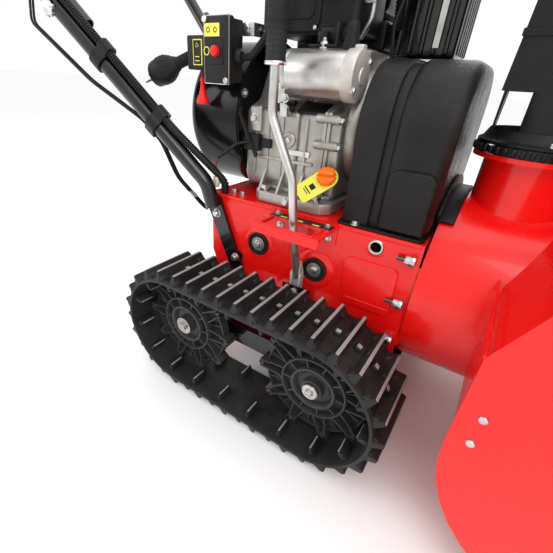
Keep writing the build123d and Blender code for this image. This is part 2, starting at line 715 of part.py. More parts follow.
def make_recoil_handle():
    """Pull grip of the recoil starter with the first length of its cord."""
    cord = disc_x(-222, -110, CORD_OFFSET, CRANK_Z + CORD_OFFSET, 2.5)
    bar = disc_y(-230, CORD_OFFSET - 42, CORD_OFFSET + 42, CRANK_Z + CORD_OFFSET, 8)
    stem = disc_x(-226, -217, CORD_OFFSET, CRANK_Z + CORD_OFFSET, 9)
    return cord + [bar, stem]


def make_engine_shroud():
    """Cylinder shroud, intake heater box and tall exhaust guard."""
    shroud = box(-76, 104, 40, 214, 690, 736)
    heater = box(-70, 96, -96, 36, 704, 792)
    guard = box(122, 224, 24, 132, 680, 848)
    guard = guard - box(126, 220, 28, 128, 670, 844)
    link = box(104, 122, 44, 110, 700, 730)
    return group([shroud + [link], heater, guard])


def make_fuel_tank():
    """Fuel tank over the engine."""
    tank = box(-150, 92, 40, 200, 740, 836)
    tank = fillet(tank.edges(), 18)
    neck = disc_z(-60, 120, 830, 846, 27)
    tank = tank + neck
    return tank - disc_z(-60, 120, 790, 850, 22.05)


def make_fuel_cap():
    """Lift-off fuel cap."""
    skirt = disc_z(-60, 120, 846, 864, 31)
    skirt = fillet(skirt.edges().sort_by(Axis.Z)[-1], 4)
    plug = disc_z(-60, 120, 832, 846, 22)
    return skirt + plug


def make_starter_motor():
    """Electric starter on the right side of the engine."""
    body = disc_x(5, 110, STARTER_Y, STARTER_Z, STARTER_R)
    cap = disc_x(110, 129, STARTER_Y, STARTER_Z, STARTER_R + 1.5)
    nose = disc_x(-16, 5, STARTER_Y, STARTER_Z, 24)
    boot = Pos(104, STARTER_Y, 0) * Cone(13, 8, 26, align=(Align.CENTER, Align.CENTER, Align.MIN))
    boot = Pos(0, 0, STARTER_Z + 30) * boot
    bracket = box(-4, 10, -136, -96, 604, 618)
    return body + [cap, nose, boot, bracket]


def make_switch_box():
    """Starter switch box with its inlet wing and mounting strap."""
    case = box(-131, -83, SWITCH_FRONT_Y, -124, 626, 723)
    case = fillet(case.edges().filter_by(Axis.Z), 4)
    wing = box(-180, -130, SWITCH_FRONT_Y, -132, 640, 690)
    strap = box(-110, -66, -124, -121, 700, 716)
    strap = strap + box(-69, -66, -121, -96, 700, 716)
    body = case + [wing, strap]
    return body - disc_y(BUTTON_X, -170, -150, BUTTON_Z, 8.1)


def make_starter_button():
    """Round push button of the starter."""
    button = disc_y(BUTTON_X, SWITCH_FRONT_Y - 7, -156, BUTTON_Z, 8)
    return fillet(button.edges().sort_by(Axis.Y)[0], 2.5)


def make_mains_plug():
    """Inlet plug on the left end of the switch box."""
    start = Vector(-180, -148, 668)
    along = (Vector(-300, -164, 624) - start).normalized()
    plane = Plane(origin=start, z_dir=along)
    upright = (Align.CENTER, Align.CENTER, Align.MIN)
    neck = plane * Pos(0, 0, -6) * Cylinder(9, 44, align=upright)
    taper = plane * Pos(0, 0, 36) * Cone(11, 24, 32, align=upright)
    head = plane * Pos(0, 0, 68) * Cylinder(25, 34, align=upright)
    pins = []
    for offset in (-9.5, 9.5):
        pins.append(plane * Pos(offset, 0, 100) * Cylinder(2.4, 20, align=upright))
    body = neck + [taper, head] + pins
    return body - box(-180, -100, -200, 0, 600, 720)


def make_dipstick_tube():
    """Oil filler tube standing out of the crankcase."""
    outer = rod((93.5, -82, 457), (104, -128, 496), 8)
    return outer - rod((92, -76, 452), (106, -137, 503.6), 5.5)


def make_dipstick():
    """Oil cap with its measuring rod."""
    rod_part = rod((97, -98, 470.5), (105, -132.4, 499.7), 2.5)
    cap = rod((104.2, -128.9, 496.8), (107.8, -144.7, 510.2), 12)
    return rod_part + cap


def make_engine_cables():
    """Starter cable and the bush where it leaves the switch box."""
    power = [(-82.8, -140, 668), (-56, -140, 668), (-30, -132, 700), (-20, -116, 790)]
    power.extend([(60, -112, 806), (104, -112, 776), (104, STARTER_Y, 704.2)])
    cable = bent_rod(power, 5.5, 22)
    bush = disc_x(-82.9, -76, -140, 668, 11)
    bush = bush - disc_x(-84, -70, -140, 668, 5.8)
    return group([cable, bush])


# ================================================================ covers
def cover_outline(inset):
    """Rounded-top outline of the belt cover in y,z, drawn inwards by an inset."""
    half = 140 - inset
    top = 675 - inset
    r = 84 - inset
    lines = []
    lines.append(Line((0, -half, CHASSIS_TOP), (0, -half, top - r)))
    corner = math.radians(135)
    centre_y = half - r
    bend = (0, -centre_y + r * math.cos(corner), top - r + r * math.sin(corner))
    lines.append(ThreePointArc((0, -half, top - r), bend, (0, -centre_y, top)))
    lines.append(Line((0, -centre_y, top), (0, centre_y, top)))
    bend = (0, centre_y - r * math.cos(corner), top - r + r * math.sin(corner))
    lines.append(ThreePointArc((0, centre_y, top), bend, (0, half, top - r)))
    lines.append(Line((0, half, top - r), (0, half, CHASSIS_TOP)))
    lines.append(Line((0, half, CHASSIS_TOP), (0, -half, CHASSIS_TOP)))
    return make_face(Wire(lines))


def make_belt_cover():
    """Moulded cover over the belts."""
    outer = extrude(Pos(146, 0, 0) * cover_outline(0), amount=140, dir=(1, 0, 0))
    inner = extrude(Pos(149, 0, -5) * cover_outline(3), amount=134, dir=(1, 0, 0))
    foot = box(140, 286, -147, 147, CHASSIS_TOP, 434)
    body = outer + foot
    body = body - inner - box(149, 283, -137, 137, CHASSIS_TOP - 5, CHASSIS_TOP + 60)
    body = body - disc_x(130, 160, 0, CRANK_Z, 60)
    return body


def make_chute_flap():
    """Rubber strip between the belt cover and the fan case."""
    ring = disc_x(287.2, 292.6, 0, DRUM_Z, 188)
    ring = ring - disc_x(280, 300, 0, DRUM_Z, 120)
    return ring - box(280, 300, -400, 400, 0, 432)


# ================================================================ handle
def handle_route():
    """Corners of the right-hand lower handle tube, foot first."""
    return [(-121, -167, 405), (-136, -169, 452), (-500, -241.6, 782.9)]


def make_handle_lower():
    """Lower handle tubes with flattened feet, both sides."""
    corners = handle_route()
    tube = bent_tube(corners, HANDLE_TUBE_R, 2.0, 50)
    foot_points = [(-50, 282), (-76, 270), (-143, 405), (-135, 430), (-112, 425)]
    foot = plate_xz(foot_points, -160.5, -152.5)
    foot = foot - disc_y(-66, -170, -140, 304, 4.05) - disc_y(-116, -170, -140, 391, 4.05)
    joined = tube + (foot - rod(corners[0], corners[1], HANDLE_TUBE_R - 2.0))
    washer = disc_y(-66, -152.5, -150, 304, 12) + disc_y(-116, -152.5, -150, 391, 12)
    washer = washer - disc_y(-66, -170, -140, 304, 4.05) - disc_y(-116, -170, -140, 391, 4.05)
    return both_sides(joined + washer)


def make_handle_upper():
    """Upper handle tubes joined by a cross bar."""
    start = (-420, -193.2, 711)
    knee = (-690, -250, 968)
    end = (-HALF_LENGTH + 6, -250, 968)
    tube = bent_tube([start, knee, end], HANDLE_TUBE_R, 2.0, 60)
    core = rod(start, knee, HANDLE_TUBE_R - 1.0)
    brace = disc_y(BRACE_X, -222, 222, BRACE_Z, 11)
    brace = brace - core - mirror_y(core)
    return tube + [mirror_y(tube), brace]


def make_hand_grips():
    """Rubber grips on both handle ends."""
    grip = disc_x(-HALF_LENGTH, -HALF_LENGTH + 108, -250, 968, 19)
    grip = grip - disc_x(-HALF_LENGTH + 6, -HALF_LENGTH + 140, -250, 968, HANDLE_TUBE_R + 0.02)
    return both_sides(grip)


def make_control_panel():
    """Dashboard between the handles."""
    outline = [(-718, 898), (-610, 866), (-598, 884), (-610, 934), (-714, 946)]
    panel = plate_xz(outline, -190, 190)
    slot = box(-690, -620, -16, 16, 890, 960)
    mount = box(-608, -546, -60, -40, 830, 884)
    pivot = disc_y(CLUTCH_PIVOT_X, -227, -185, CLUTCH_PIVOT_Z, 4)
    body = panel - slot + [mount, mirror_y(mount), pivot, mirror_y(pivot)]
    body = body + disc_y(SHIFT_X, -20, 20, 903, 4)
    body = body - disc_y(BRACE_X, -300, 300, BRACE_Z, 11)
    return body - disc_z(TURN_KNOB_X, 110, 900, 960, 9.1)


def make_clutch_lever():
    """Right-hand squeeze lever above the grip."""
    hub = disc_y(CLUTCH_PIVOT_X, -226, -196, CLUTCH_PIVOT_Z, 9)
    route = [(-690, -219, 922), (-690, -219, 1010), (-740, -250, 1044), (-818, -250, 1050)]
    lever = hub + bent_rod(route, 5, 18)
    return lever - disc_y(CLUTCH_PIVOT_X, -240, -180, CLUTCH_PIVOT_Z, 4.1)


def make_shift_lever():
    """Speed selector with a ball knob."""
    stem = rod((SHIFT_X, 0, 903), (SHIFT_X - 6, 0, 1000), 5)
    knob = Pos(SHIFT_X - 6.6, 0, 1010) * Sphere(17)
    hub = disc_y(SHIFT_X, -9, 9, 903, 9)
    lever = stem + [knob, hub]
    return lever - disc_y(SHIFT_X, -12, 12, 903, 4.1)


def make_chute_lever():
    """Upright turning knob that steers the chute through cables."""
    stem = disc_z(TURN_KNOB_X, 110, 920, 985, 9)
    arm = box(TURN_KNOB_X - 34, TURN_KNOB_X + 34, 101, 119, 985, 999)
    return stem + arm


def handle_station(distance, lift):
    """Point beside the right handle tube: distance up it, lift above its axis."""
    corners = handle_route()
    start = Vector(*corners[1])
    along = (Vector(*corners[2]) - start).normalized()
    above = (Vector(0, 0, 1) - along * along.Z).normalized()
    return start + along * distance + above * lift


def make_bowden(shift):
    """One bowden cable from the chassis rear, through the lower clip and up to the panel."""
    route = [(-138.2, -140, 386), (-168, -140, 386), (-218, -168, 448)]
    route.append(tuple(handle_station(122, -CABLE_DROP)))
    route.append(tuple(handle_station(178, -CABLE_DROP)))
    route.extend([(-400, -216, 618), (-600, -205, 720), (-670, -150, 830), (-670, -150, 881)])
    points = [(x, y + shift, z) for x, y, z in route]
    return bent_rod(points, CABLE_R, 22)


def make_control_cables():
    """Cable loom on top of the right handle tube and the two bowden cables below it."""
    route = [(-112, -140, 430.2), (-112, -140, 454)]
    route.append(tuple(handle_station(115, LOOM_LIFT)))
    route.append(tuple(handle_station(515, LOOM_LIFT)))
    route.extend([(-600, -268, 905), (-640, -240, 975), (-662, -196, 932)])
    loom = bent_rod(route, LOOM_R, 24)
    return group([loom, make_bowden(-CABLE_SIDE), make_bowden(CABLE_SIDE)])


def make_clip(distance, holds_cables):
    """One strap clip round the tube and the loom."""
    start = handle_station(distance, 0)
    along = (handle_station(distance + 1, 0) - start).normalized()
    above = (handle_station(distance, 1) - start).normalized()
    plane = Plane(origin=start, x_dir=above, z_dir=along)
    strap = plane * Cylinder(19.5, 24) + plane * Pos(LOOM_LIFT, 0, 0) * Cylinder(12.5, 24)
    strap = strap + plane * Pos(13, 0, 0) * Box(22, 24, 24)
    if holds_cables:
        strap = strap + plane * Pos(-14, 0, 0) * Cylinder(11, 24)
    strap = strap - plane * Cylinder(HANDLE_TUBE_R + 0.02, 30)
    strap = strap - plane * Pos(LOOM_LIFT, 0, 0) * Cylinder(LOOM_R + 0.02, 30)
    if holds_cables:
        for side in (-CABLE_SIDE, CABLE_SIDE):
            strap = strap - plane * Pos(-CABLE_DROP, side, 0) * Cylinder(CABLE_R + 0.5, 30)
    return strap


def make_cable_clips():
    """Two strap clips that hold the loom to the right handle tube."""
    return group([make_clip(150, True), make_clip(305, False)])


# ================================================================ fasteners
def side_bolt(x, z, grip, head):
    """Right-hand bolt through a side sheet: head outside, shank inwards."""
    face = -CHASSIS_HALF - grip
    shank = disc_y(x, face, -CHASSIS_HALF + 8, z, 4)
    return shank + hex_bar_y(x, face - 6, face, z, head)


def make_fasteners():
    """All static bolts and knobs of the machine."""
    items = [side_bolt(-66, 304, 10.5, 13), side_bolt(-116, 391, 10.5, 13)]
    for z in (248, 324):
        items.append(side_bolt(277, z, 0.0, 13))
    for x in (590, 700):
        face = -HOUSING_HALF_WIDTH - 5
        shank = disc_y(x, face, face + 16, 60, 4)
        items.append(shank + hex_bar_y(x, face - 7, face, 60, 15))
    for x in (-20, 90):
        shank = disc_z(x, -128, CHASSIS_TOP - 10, 456, 4.9)
        items.append(shank + hex_bar_z(x, -128, 456, 463, 16))
    return both_sides(group(items))


def main():
    os.makedirs("parts", exist_ok=True)
    belt = make_track_belt()
    save("track_belt_right", belt)
    save("track_belt_left", mirror_y(belt))
    drive_wheel = make_track_wheel(DRIVE_AXLE_X, DRIVE_AXLE_R + 0.02)
    save("drive_wheel_right", drive_wheel)
    save("drive_wheel_left", mirror_y(drive_wheel))
    idler_wheel = make_track_wheel(REAR_AXLE_X, REAR_AXLE_R + 0.1)
    save("idler_wheel_right", idler_wheel)
    save("idler_wheel_left", mirror_y(idler_wheel))
    drive_bolts = both_sides(make_end_bolt(DRIVE_AXLE_X, 16, 13))
    save("drive_axle", group([make_drive_axle(), drive_bolts]))
    rear_bolts = both_sides(make_end_bolt(REAR_AXLE_X, 20, 17))
    save("rear_axle", group([make_rear_axle(), rear_bolts]))
    save("track_frames", both_sides(make_track_frame()))
    save("height_lever", make_height_lever())
    save("lever_grip", make_lever_grip())
    save("lever_guide", make_lever_guide())
    save("chassis_frame", make_chassis_frame())
    save("bottom_cover", make_bottom_cover())
    save("bearings", make_bearings())
    save("hex_shaft", make_hex_shaft())
    save("friction_wheel", make_friction_wheel())
    save("countershaft", make_countershaft())
    save("drive_chains", make_chains())
    save("friction_disc", make_friction_disc())
    save("auger_pulley", make_auger_pulley())
    save("drive_belts", make_drive_belts())
    save("impeller_drum", make_impeller_drum())
    save("auger_housing", make_auger_housing())
    save("scraper_bar", make_scraper_bar())
    save("skid_shoes", both_sides(make_skid_shoe()))
    save("auger_shaft", make_auger_shaft())
    auger = make_auger()
    save("auger_right", auger)
    save("auger_left", mirror_y(auger))
    save("auger_gearbox", make_auger_gearbox())
    save("impeller", make_impeller())
    save("impeller_shaft", make_impeller_shaft())
    save("chute", group([make_chute(), both_sides(make_deflector_bolt())]))
    save("chute_deflector", make_chute_deflector())
    save("engine_block", group([make_engine_block(), make_dipstick_tube()]))
    save("crankshaft", make_crankshaft())
    save("fan_housing", make_fan_housing())
    save("recoil_handle", make_recoil_handle())
    save("engine_shroud", make_engine_shroud())
    save("fuel_tank", make_fuel_tank())
    save("fuel_cap", make_fuel_cap())
    save("starter_motor", make_starter_motor())
    save("switch_box", make_switch_box())
    save("starter_button", make_starter_button())
    save("mains_plug", make_mains_plug())
    save("dipstick", make_dipstick())
    save("engine_cables", make_engine_cables())
    save("belt_cover", make_belt_cover())
    save("chute_flap", make_chute_flap())
    save("handle_lower", make_handle_lower())
    save("handle_upper", make_handle_upper())
    save("hand_grips", make_hand_grips())
    save("control_panel", make_control_panel())
    lever = make_clutch_lever()
    save("clutch_lever_right", lever)
    save("clutch_lever_left", mirror_y(lever))
    save("shift_lever", make_shift_lever())
    save("chute_lever", make_chute_lever())
    save("control_cables", make_control_cables())
    save("cable_clips", make_cable_clips())
    save("fasteners", make_fasteners())


main()
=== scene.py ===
"""Looks of a two stage snowblower on rubber tracks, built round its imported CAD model.

Lengths in the helpers' arguments are millimetres in the CAD frame: +X forward, +Y to the operator's
left, +Z up.
"""

import math

import bmesh
import bpy
from mathutils import Matrix, Vector


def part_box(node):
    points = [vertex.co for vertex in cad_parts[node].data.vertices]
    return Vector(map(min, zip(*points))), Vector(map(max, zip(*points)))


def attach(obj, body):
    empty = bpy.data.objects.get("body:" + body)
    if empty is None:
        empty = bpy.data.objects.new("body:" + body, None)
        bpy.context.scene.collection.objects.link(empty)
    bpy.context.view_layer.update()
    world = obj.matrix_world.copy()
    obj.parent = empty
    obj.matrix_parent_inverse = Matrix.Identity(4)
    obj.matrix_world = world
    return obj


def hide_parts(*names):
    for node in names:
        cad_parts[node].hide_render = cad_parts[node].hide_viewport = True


bl_info = {
    "name": "Tracked snowblower",
    "version": (1, 0, 0),
    "blender": (4, 5, 0),
    "location": "3D View > Sidebar > Snowblower",
    "description": "Builds the visible pieces, finishes and studio of a two stage tracked snowblower",
    "category": "Object",
}

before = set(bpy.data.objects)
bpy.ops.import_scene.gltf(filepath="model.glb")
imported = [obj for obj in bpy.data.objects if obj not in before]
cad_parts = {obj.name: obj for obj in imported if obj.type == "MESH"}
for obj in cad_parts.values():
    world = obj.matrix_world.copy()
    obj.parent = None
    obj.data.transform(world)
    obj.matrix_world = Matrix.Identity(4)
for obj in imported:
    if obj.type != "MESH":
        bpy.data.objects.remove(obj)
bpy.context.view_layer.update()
MM = 0.001
RIGHT = -1
LEFT = 1
PATH_RADIUS = 127  # of the belt's middle layer round a wheel
BAR_COUNT = 38  # tread bars on each track
LUG_COUNT = 19  # lugs inside each track
PADDLE_COUNT = 10  # paddles on each wheel


def middle_of(node):
    """Middle of a CAD node's box at rest, in millimetres."""
    low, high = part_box(node)
    return [round((a + b) / 2 / MM, 1) for a, b in zip(low, high)]


def far_corner_of(node):
    """Highest corner of a CAD node's box at rest, in millimetres."""
    return [round(value / MM, 1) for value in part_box(node)[1]]


FRONT_AXLE_X, RIGHT_TRACK_Y, AXLE_Z = middle_of("drive_wheel_right")
REAR_AXLE_X = middle_of("idler_wheel_right")[0]
TRACK_Y = abs(RIGHT_TRACK_Y)
WHEELBASE = FRONT_AXLE_X - REAR_AXLE_X
TRACK_LENGTH = 2 * WHEELBASE + math.tau * PATH_RADIUS
CHASSIS_SIDE = far_corner_of("chassis_frame")[1]
DECK_Z = far_corner_of("chassis_frame")[2]
CRANK_Z = middle_of("fan_housing")[2]
DRUM_Z = middle_of("impeller_shaft")[2]
AUGER_X = middle_of("auger_shaft")[0]
AUGER_Z = middle_of("auger_shaft")[2]
HOUSING_SIDE = far_corner_of("auger_housing")[1]
CHUTE_X = middle_of("chute")[0]
LEVER_X = middle_of("lever_grip")[0]
LEVER_Y = middle_of("lever_grip")[1]
HAND_GRIP_Z = middle_of("hand_grips")[2]


# ---------------------------------------------------------------- settings
class SnowblowerSizes(bpy.types.PropertyGroup):
    """Sizes of the fine detail, in metres."""

    tread_tip: bpy.props.FloatProperty(
        name="Tread tip", description="Thickness of a track bar at its worn tip",
        default=0.0064, min=0.003, max=0.009, unit="LENGTH")
    tread_rib: bpy.props.FloatProperty(
        name="Tread rib", description="Height of the fine ribs between two track bars",
        default=0.0016, min=0.0005, max=0.003, unit="LENGTH")
    loom_pitch: bpy.props.FloatProperty(
        name="Loom pitch", description="Distance between two rings of the corrugated loom",
        default=0.0048, min=0.003, max=0.01, unit="LENGTH")
    cover_groove: bpy.props.FloatProperty(
        name="Cover groove", description="Width of the groove round the belt cover",
        default=0.008, min=0.002, max=0.012, unit="LENGTH")
    panel_raise: bpy.props.FloatProperty(
        name="Panel raise", description="How far the pressed chassis panel stands proud",
        default=0.0028, min=0.001, max=0.005, unit="LENGTH")
    grip_dot: bpy.props.FloatProperty(
        name="Grip dot", description="Radius of one dot on the lever grip",
        default=0.0011, min=0.0005, max=0.002, unit="LENGTH")


class SnowblowerColours(bpy.types.PropertyGroup):
    """Colours of the finishes."""

    red: bpy.props.FloatVectorProperty(
        name="Red paint", description="Powder coat of chassis and blower",
        default=(0.86, 0.007, 0.005), size=3, min=0.0, max=1.0, subtype="COLOR")
    enamel: bpy.props.FloatVectorProperty(
        name="Black enamel", description="Gloss black of tubes and augers",
        default=(0.004, 0.004, 0.0045), size=3, min=0.0, max=1.0, subtype="COLOR")
    plastic: bpy.props.FloatVectorProperty(
        name="Black plastic", description="Satin black mouldings",
        default=(0.007, 0.007, 0.0075), size=3, min=0.0, max=1.0, subtype="COLOR")
    rubber: bpy.props.FloatVectorProperty(
        name="Track rubber", description="Body of the tracks",
        default=(0.013, 0.013, 0.0135), size=3, min=0.0, max=1.0, subtype="COLOR")
    # Pale grey of the bar crests, guide cube tops and lug tips: partly scuffed wear, partly a painted
    # highlight for light catching those edges.
    worn: bpy.props.FloatVectorProperty(
        name="Worn rubber", description="Scuffed tips of the track bars",
        default=(0.24, 0.24, 0.24), size=3, min=0.0, max=1.0, subtype="COLOR")
    casting: bpy.props.FloatVectorProperty(
        name="Casting", description="Light alloy of the crankcase",
        default=(0.42, 0.41, 0.385), size=3, min=0.0, max=1.0, subtype="COLOR")
    sticker: bpy.props.FloatVectorProperty(
        name="Sticker yellow", description="Plain yellow stickers and the oil tag",
        default=(0.70, 0.68, 0.09), size=3, min=0.0, max=1.0, subtype="COLOR")
    oil_cap: bpy.props.FloatVectorProperty(
        name="Oil cap", description="Orange of the oil cap",
        default=(1.0, 0.16, 0.004), size=3, min=0.0, max=1.0, subtype="COLOR")


# ---------------------------------------------------------------- finishes
def painted_metal(name, colour, roughness, coat):
    """Stoved paint over sheet steel: slow shade drift, orange peel, hazy smears and hairline scratches."""
    material = bpy.data.materials.new(name)
    material.use_nodes = True
    tree = material.node_tree
    nodes = tree.nodes
    links = tree.links
    nodes.clear()
    out = nodes.new("ShaderNodeOutputMaterial")
    out.label = "Painted surface"
    out.location = (900, 0)
    shader = nodes.new("ShaderNodeBsdfPrincipled")
    shader.label = "Paint and clear coat"
    shader.location = (600, 0)
    place = nodes.new("ShaderNodeTexCoord")
    place.label = "Place on the machine"
    place.location = (-900, 0)
    shade_frame = nodes.new("NodeFrame")
    shade_frame.label = "Shade drift"
    drift = nodes.new("ShaderNodeTexNoise")
    drift.label = "Slow drift of the coat"
    drift.location = (-600, 300)
    drift.parent = shade_frame
    drift.inputs["Scale"].default_value = 5.0
    drift.inputs["Detail"].default_value = 3.0
    range_of_shade = nodes.new("ShaderNodeValToRGB")
    range_of_shade.label = "Darker to lighter paint"
    range_of_shade.location = (-350, 300)
    range_of_shade.parent = shade_frame
    range_of_shade.color_ramp.elements[0].position = 0.35
    range_of_shade.color_ramp.elements[0].color = (colour[0] * 0.86, colour[1] * 0.82, colour[2] * 0.82,
                                                   1.0)
    range_of_shade.color_ramp.elements[1].position = 0.68
    range_of_shade.color_ramp.elements[1].color = (colour[0], colour[1], colour[2], 1.0)
    wear_frame = nodes.new("NodeFrame")
    wear_frame.label = "Handling marks"
    stretch = nodes.new("ShaderNodeMapping")
    stretch.label = "Long thin marks"
    stretch.location = (-700, -20)
    stretch.parent = wear_frame
    stretch.inputs["Scale"].default_value = (40.0, 6.0, 260.0)
    scratches = nodes.new("ShaderNodeTexNoise")
    scratches.label = "Hairline scratches"
    scratches.location = (-500, -20)
    scratches.parent = wear_frame
    scratches.inputs["Scale"].default_value = 1.0
    scratches.inputs["Detail"].default_value = 4.0
    scratches.inputs["Roughness"].default_value = 0.7
    few = nodes.new("ShaderNodeValToRGB")
    few.label = "Only the deepest scratches"
    few.location = (-300, -20)
    few.parent = wear_frame
    few.color_ramp.elements[0].position = 0.70
    few.color_ramp.elements[1].position = 0.80
    smear = nodes.new("ShaderNodeTexNoise")
    smear.label = "Hazy smears"
    smear.location = (-500, -260)
    smear.parent = wear_frame
    smear.inputs["Scale"].default_value = 17.0
    smear.inputs["Detail"].default_value = 6.0
    haze = nodes.new("ShaderNodeMapRange")
    haze.label = "Smears dull the gloss"
    haze.location = (-280, -260)
    haze.parent = wear_frame
    haze.inputs["From Min"].default_value = 0.3
    haze.inputs["From Max"].default_value = 0.75
    haze.inputs["To Min"].default_value = roughness * 0.75
    haze.inputs["To Max"].default_value = roughness * 1.5
    dulled = nodes.new("ShaderNodeMath")
    dulled.label = "Scratches dull it more"
    dulled.location = (0, -150)
    dulled.parent = wear_frame
    dulled.operation = "MULTIPLY_ADD"
    dulled.inputs[1].default_value = 0.16
    peel_frame = nodes.new("NodeFrame")
    peel_frame.label = "Orange peel"
    peel = nodes.new("ShaderNodeTexNoise")
    peel.label = "Fine ripple of the paint"
    peel.location = (-500, -520)
    peel.parent = peel_frame
    peel.inputs["Scale"].default_value = 230.0
    peel.inputs["Detail"].default_value = 2.0
    ripple = nodes.new("ShaderNodeBump")
    ripple.label = "Ripple as relief"
    ripple.location = (-250, -520)
    ripple.parent = peel_frame
    ripple.inputs["Strength"].default_value = 0.06
    ripple.inputs["Distance"].default_value = 0.0006
    shader.inputs["Coat Weight"].default_value = coat
    shader.inputs["Coat Roughness"].default_value = 0.06
    shader.inputs["Specular IOR Level"].default_value = 0.35
    links.new(place.outputs["Object"], drift.inputs["Vector"])
    links.new(drift.outputs["Fac"], range_of_shade.inputs["Fac"])
    links.new(range_of_shade.outputs["Color"], shader.inputs["Base Color"])
    links.new(place.outputs["Object"], stretch.inputs["Vector"])
    links.new(stretch.outputs["Vector"], scratches.inputs["Vector"])
    links.new(scratches.outputs["Fac"], few.inputs["Fac"])
    links.new(place.outputs["Object"], smear.inputs["Vector"])
    links.new(smear.outputs["Fac"], haze.inputs["Value"])
    links.new(few.outputs["Color"], dulled.inputs[0])
    links.new(haze.outputs["Result"], dulled.inputs[2])
    links.new(dulled.outputs["Value"], shader.inputs["Roughness"])
    links.new(place.outputs["Object"], peel.inputs["Vector"])
    links.new(peel.outputs["Fac"], ripple.inputs["Height"])
    links.new(ripple.outputs["Normal"], shader.inputs["Normal"])
    links.new(shader.outputs["BSDF"], out.inputs["Surface"])
    return material


def moulding(name, colour, roughness, grain_scale, grain_depth, bloom):
    """Moulded plastic or rubber: fine grain, uneven sheen and a pale bloom where it is handled or dusty."""
    material = bpy.data.materials.new(name)
    material.use_nodes = True
    tree = material.node_tree
    nodes = tree.nodes
    links = tree.links
    nodes.clear()
    out = nodes.new("ShaderNodeOutputMaterial")
    out.label = "Moulded surface"
    out.location = (900, 0)
    shader = nodes.new("ShaderNodeBsdfPrincipled")
    shader.label = "Moulded material"
    shader.location = (600, 0)
    shader.inputs["Specular IOR Level"].default_value = 0.24
    place = nodes.new("ShaderNodeTexCoord")
    place.label = "Place on the machine"
    place.location = (-900, 0)
    tone_frame = nodes.new("NodeFrame")
    tone_frame.label = "Tone and bloom"
    patches = nodes.new("ShaderNodeTexNoise")
    patches.label = "Patches of bloom"
    patches.location = (-600, 260)
    patches.parent = tone_frame
    patches.inputs["Scale"].default_value = 14.0
    patches.inputs["Detail"].default_value = 7.0
    patches.inputs["Roughness"].default_value = 0.62
    tone = nodes.new("ShaderNodeValToRGB")
    tone.label = "Clean to dusty"
    tone.location = (-350, 260)
    tone.parent = tone_frame
    tone.color_ramp.elements[0].position = 0.40
    tone.color_ramp.elements[0].color = (colour[0], colour[1], colour[2], 1.0)
    tone.color_ramp.elements[1].position = 0.80
    tone.color_ramp.elements[1].color = (
        min(1.0, colour[0] * 1.15 + bloom), min(1.0, colour[1] * 1.15 + bloom),
        min(1.0, colour[2] * 1.15 + bloom * 0.95), 1.0)
    sheen_frame = nodes.new("NodeFrame")
    sheen_frame.label = "Uneven sheen"
    rub = nodes.new("ShaderNodeTexNoise")
    rub.label = "Rubbed areas"
    rub.location = (-600, -60)
    rub.parent = sheen_frame
    rub.inputs["Scale"].default_value = 32.0
    rub.inputs["Detail"].default_value = 5.0
    sheen = nodes.new("ShaderNodeMapRange")
    sheen.label = "Rubbed areas shine"
    sheen.location = (-350, -60)
    sheen.parent = sheen_frame
    sheen.inputs["From Min"].default_value = 0.3
    sheen.inputs["From Max"].default_value = 0.7
    sheen.inputs["To Min"].default_value = roughness * 0.8
    sheen.inputs["To Max"].default_value = min(1.0, roughness * 1.2)
    grain_frame = nodes.new("NodeFrame")
    grain_frame.label = "Mould grain"
    grain = nodes.new("ShaderNodeTexVoronoi")
    grain.label = "Leathery grain cells"
    grain.location = (-600, -360)
    grain.parent = grain_frame
    grain.inputs["Scale"].default_value = grain_scale
    relief = nodes.new("ShaderNodeBump")
    relief.label = "Grain as relief"
    relief.location = (-350, -360)
    relief.parent = grain_frame
    relief.inputs["Strength"].default_value = grain_depth
    relief.inputs["Distance"].default_value = 0.0008
    links.new(place.outputs["Object"], patches.inputs["Vector"])
    links.new(patches.outputs["Fac"], tone.inputs["Fac"])
    links.new(tone.outputs["Color"], shader.inputs["Base Color"])
    links.new(place.outputs["Object"], rub.inputs["Vector"])
    links.new(rub.outputs["Fac"], sheen.inputs["Value"])
    links.new(sheen.outputs["Result"], shader.inputs["Roughness"])
    links.new(place.outputs["Object"], grain.inputs["Vector"])
    links.new(grain.outputs["Distance"], relief.inputs["Height"])
    links.new(relief.outputs["Normal"], shader.inputs["Normal"])
    links.new(shader.outputs["BSDF"], out.inputs["Surface"])
    return material


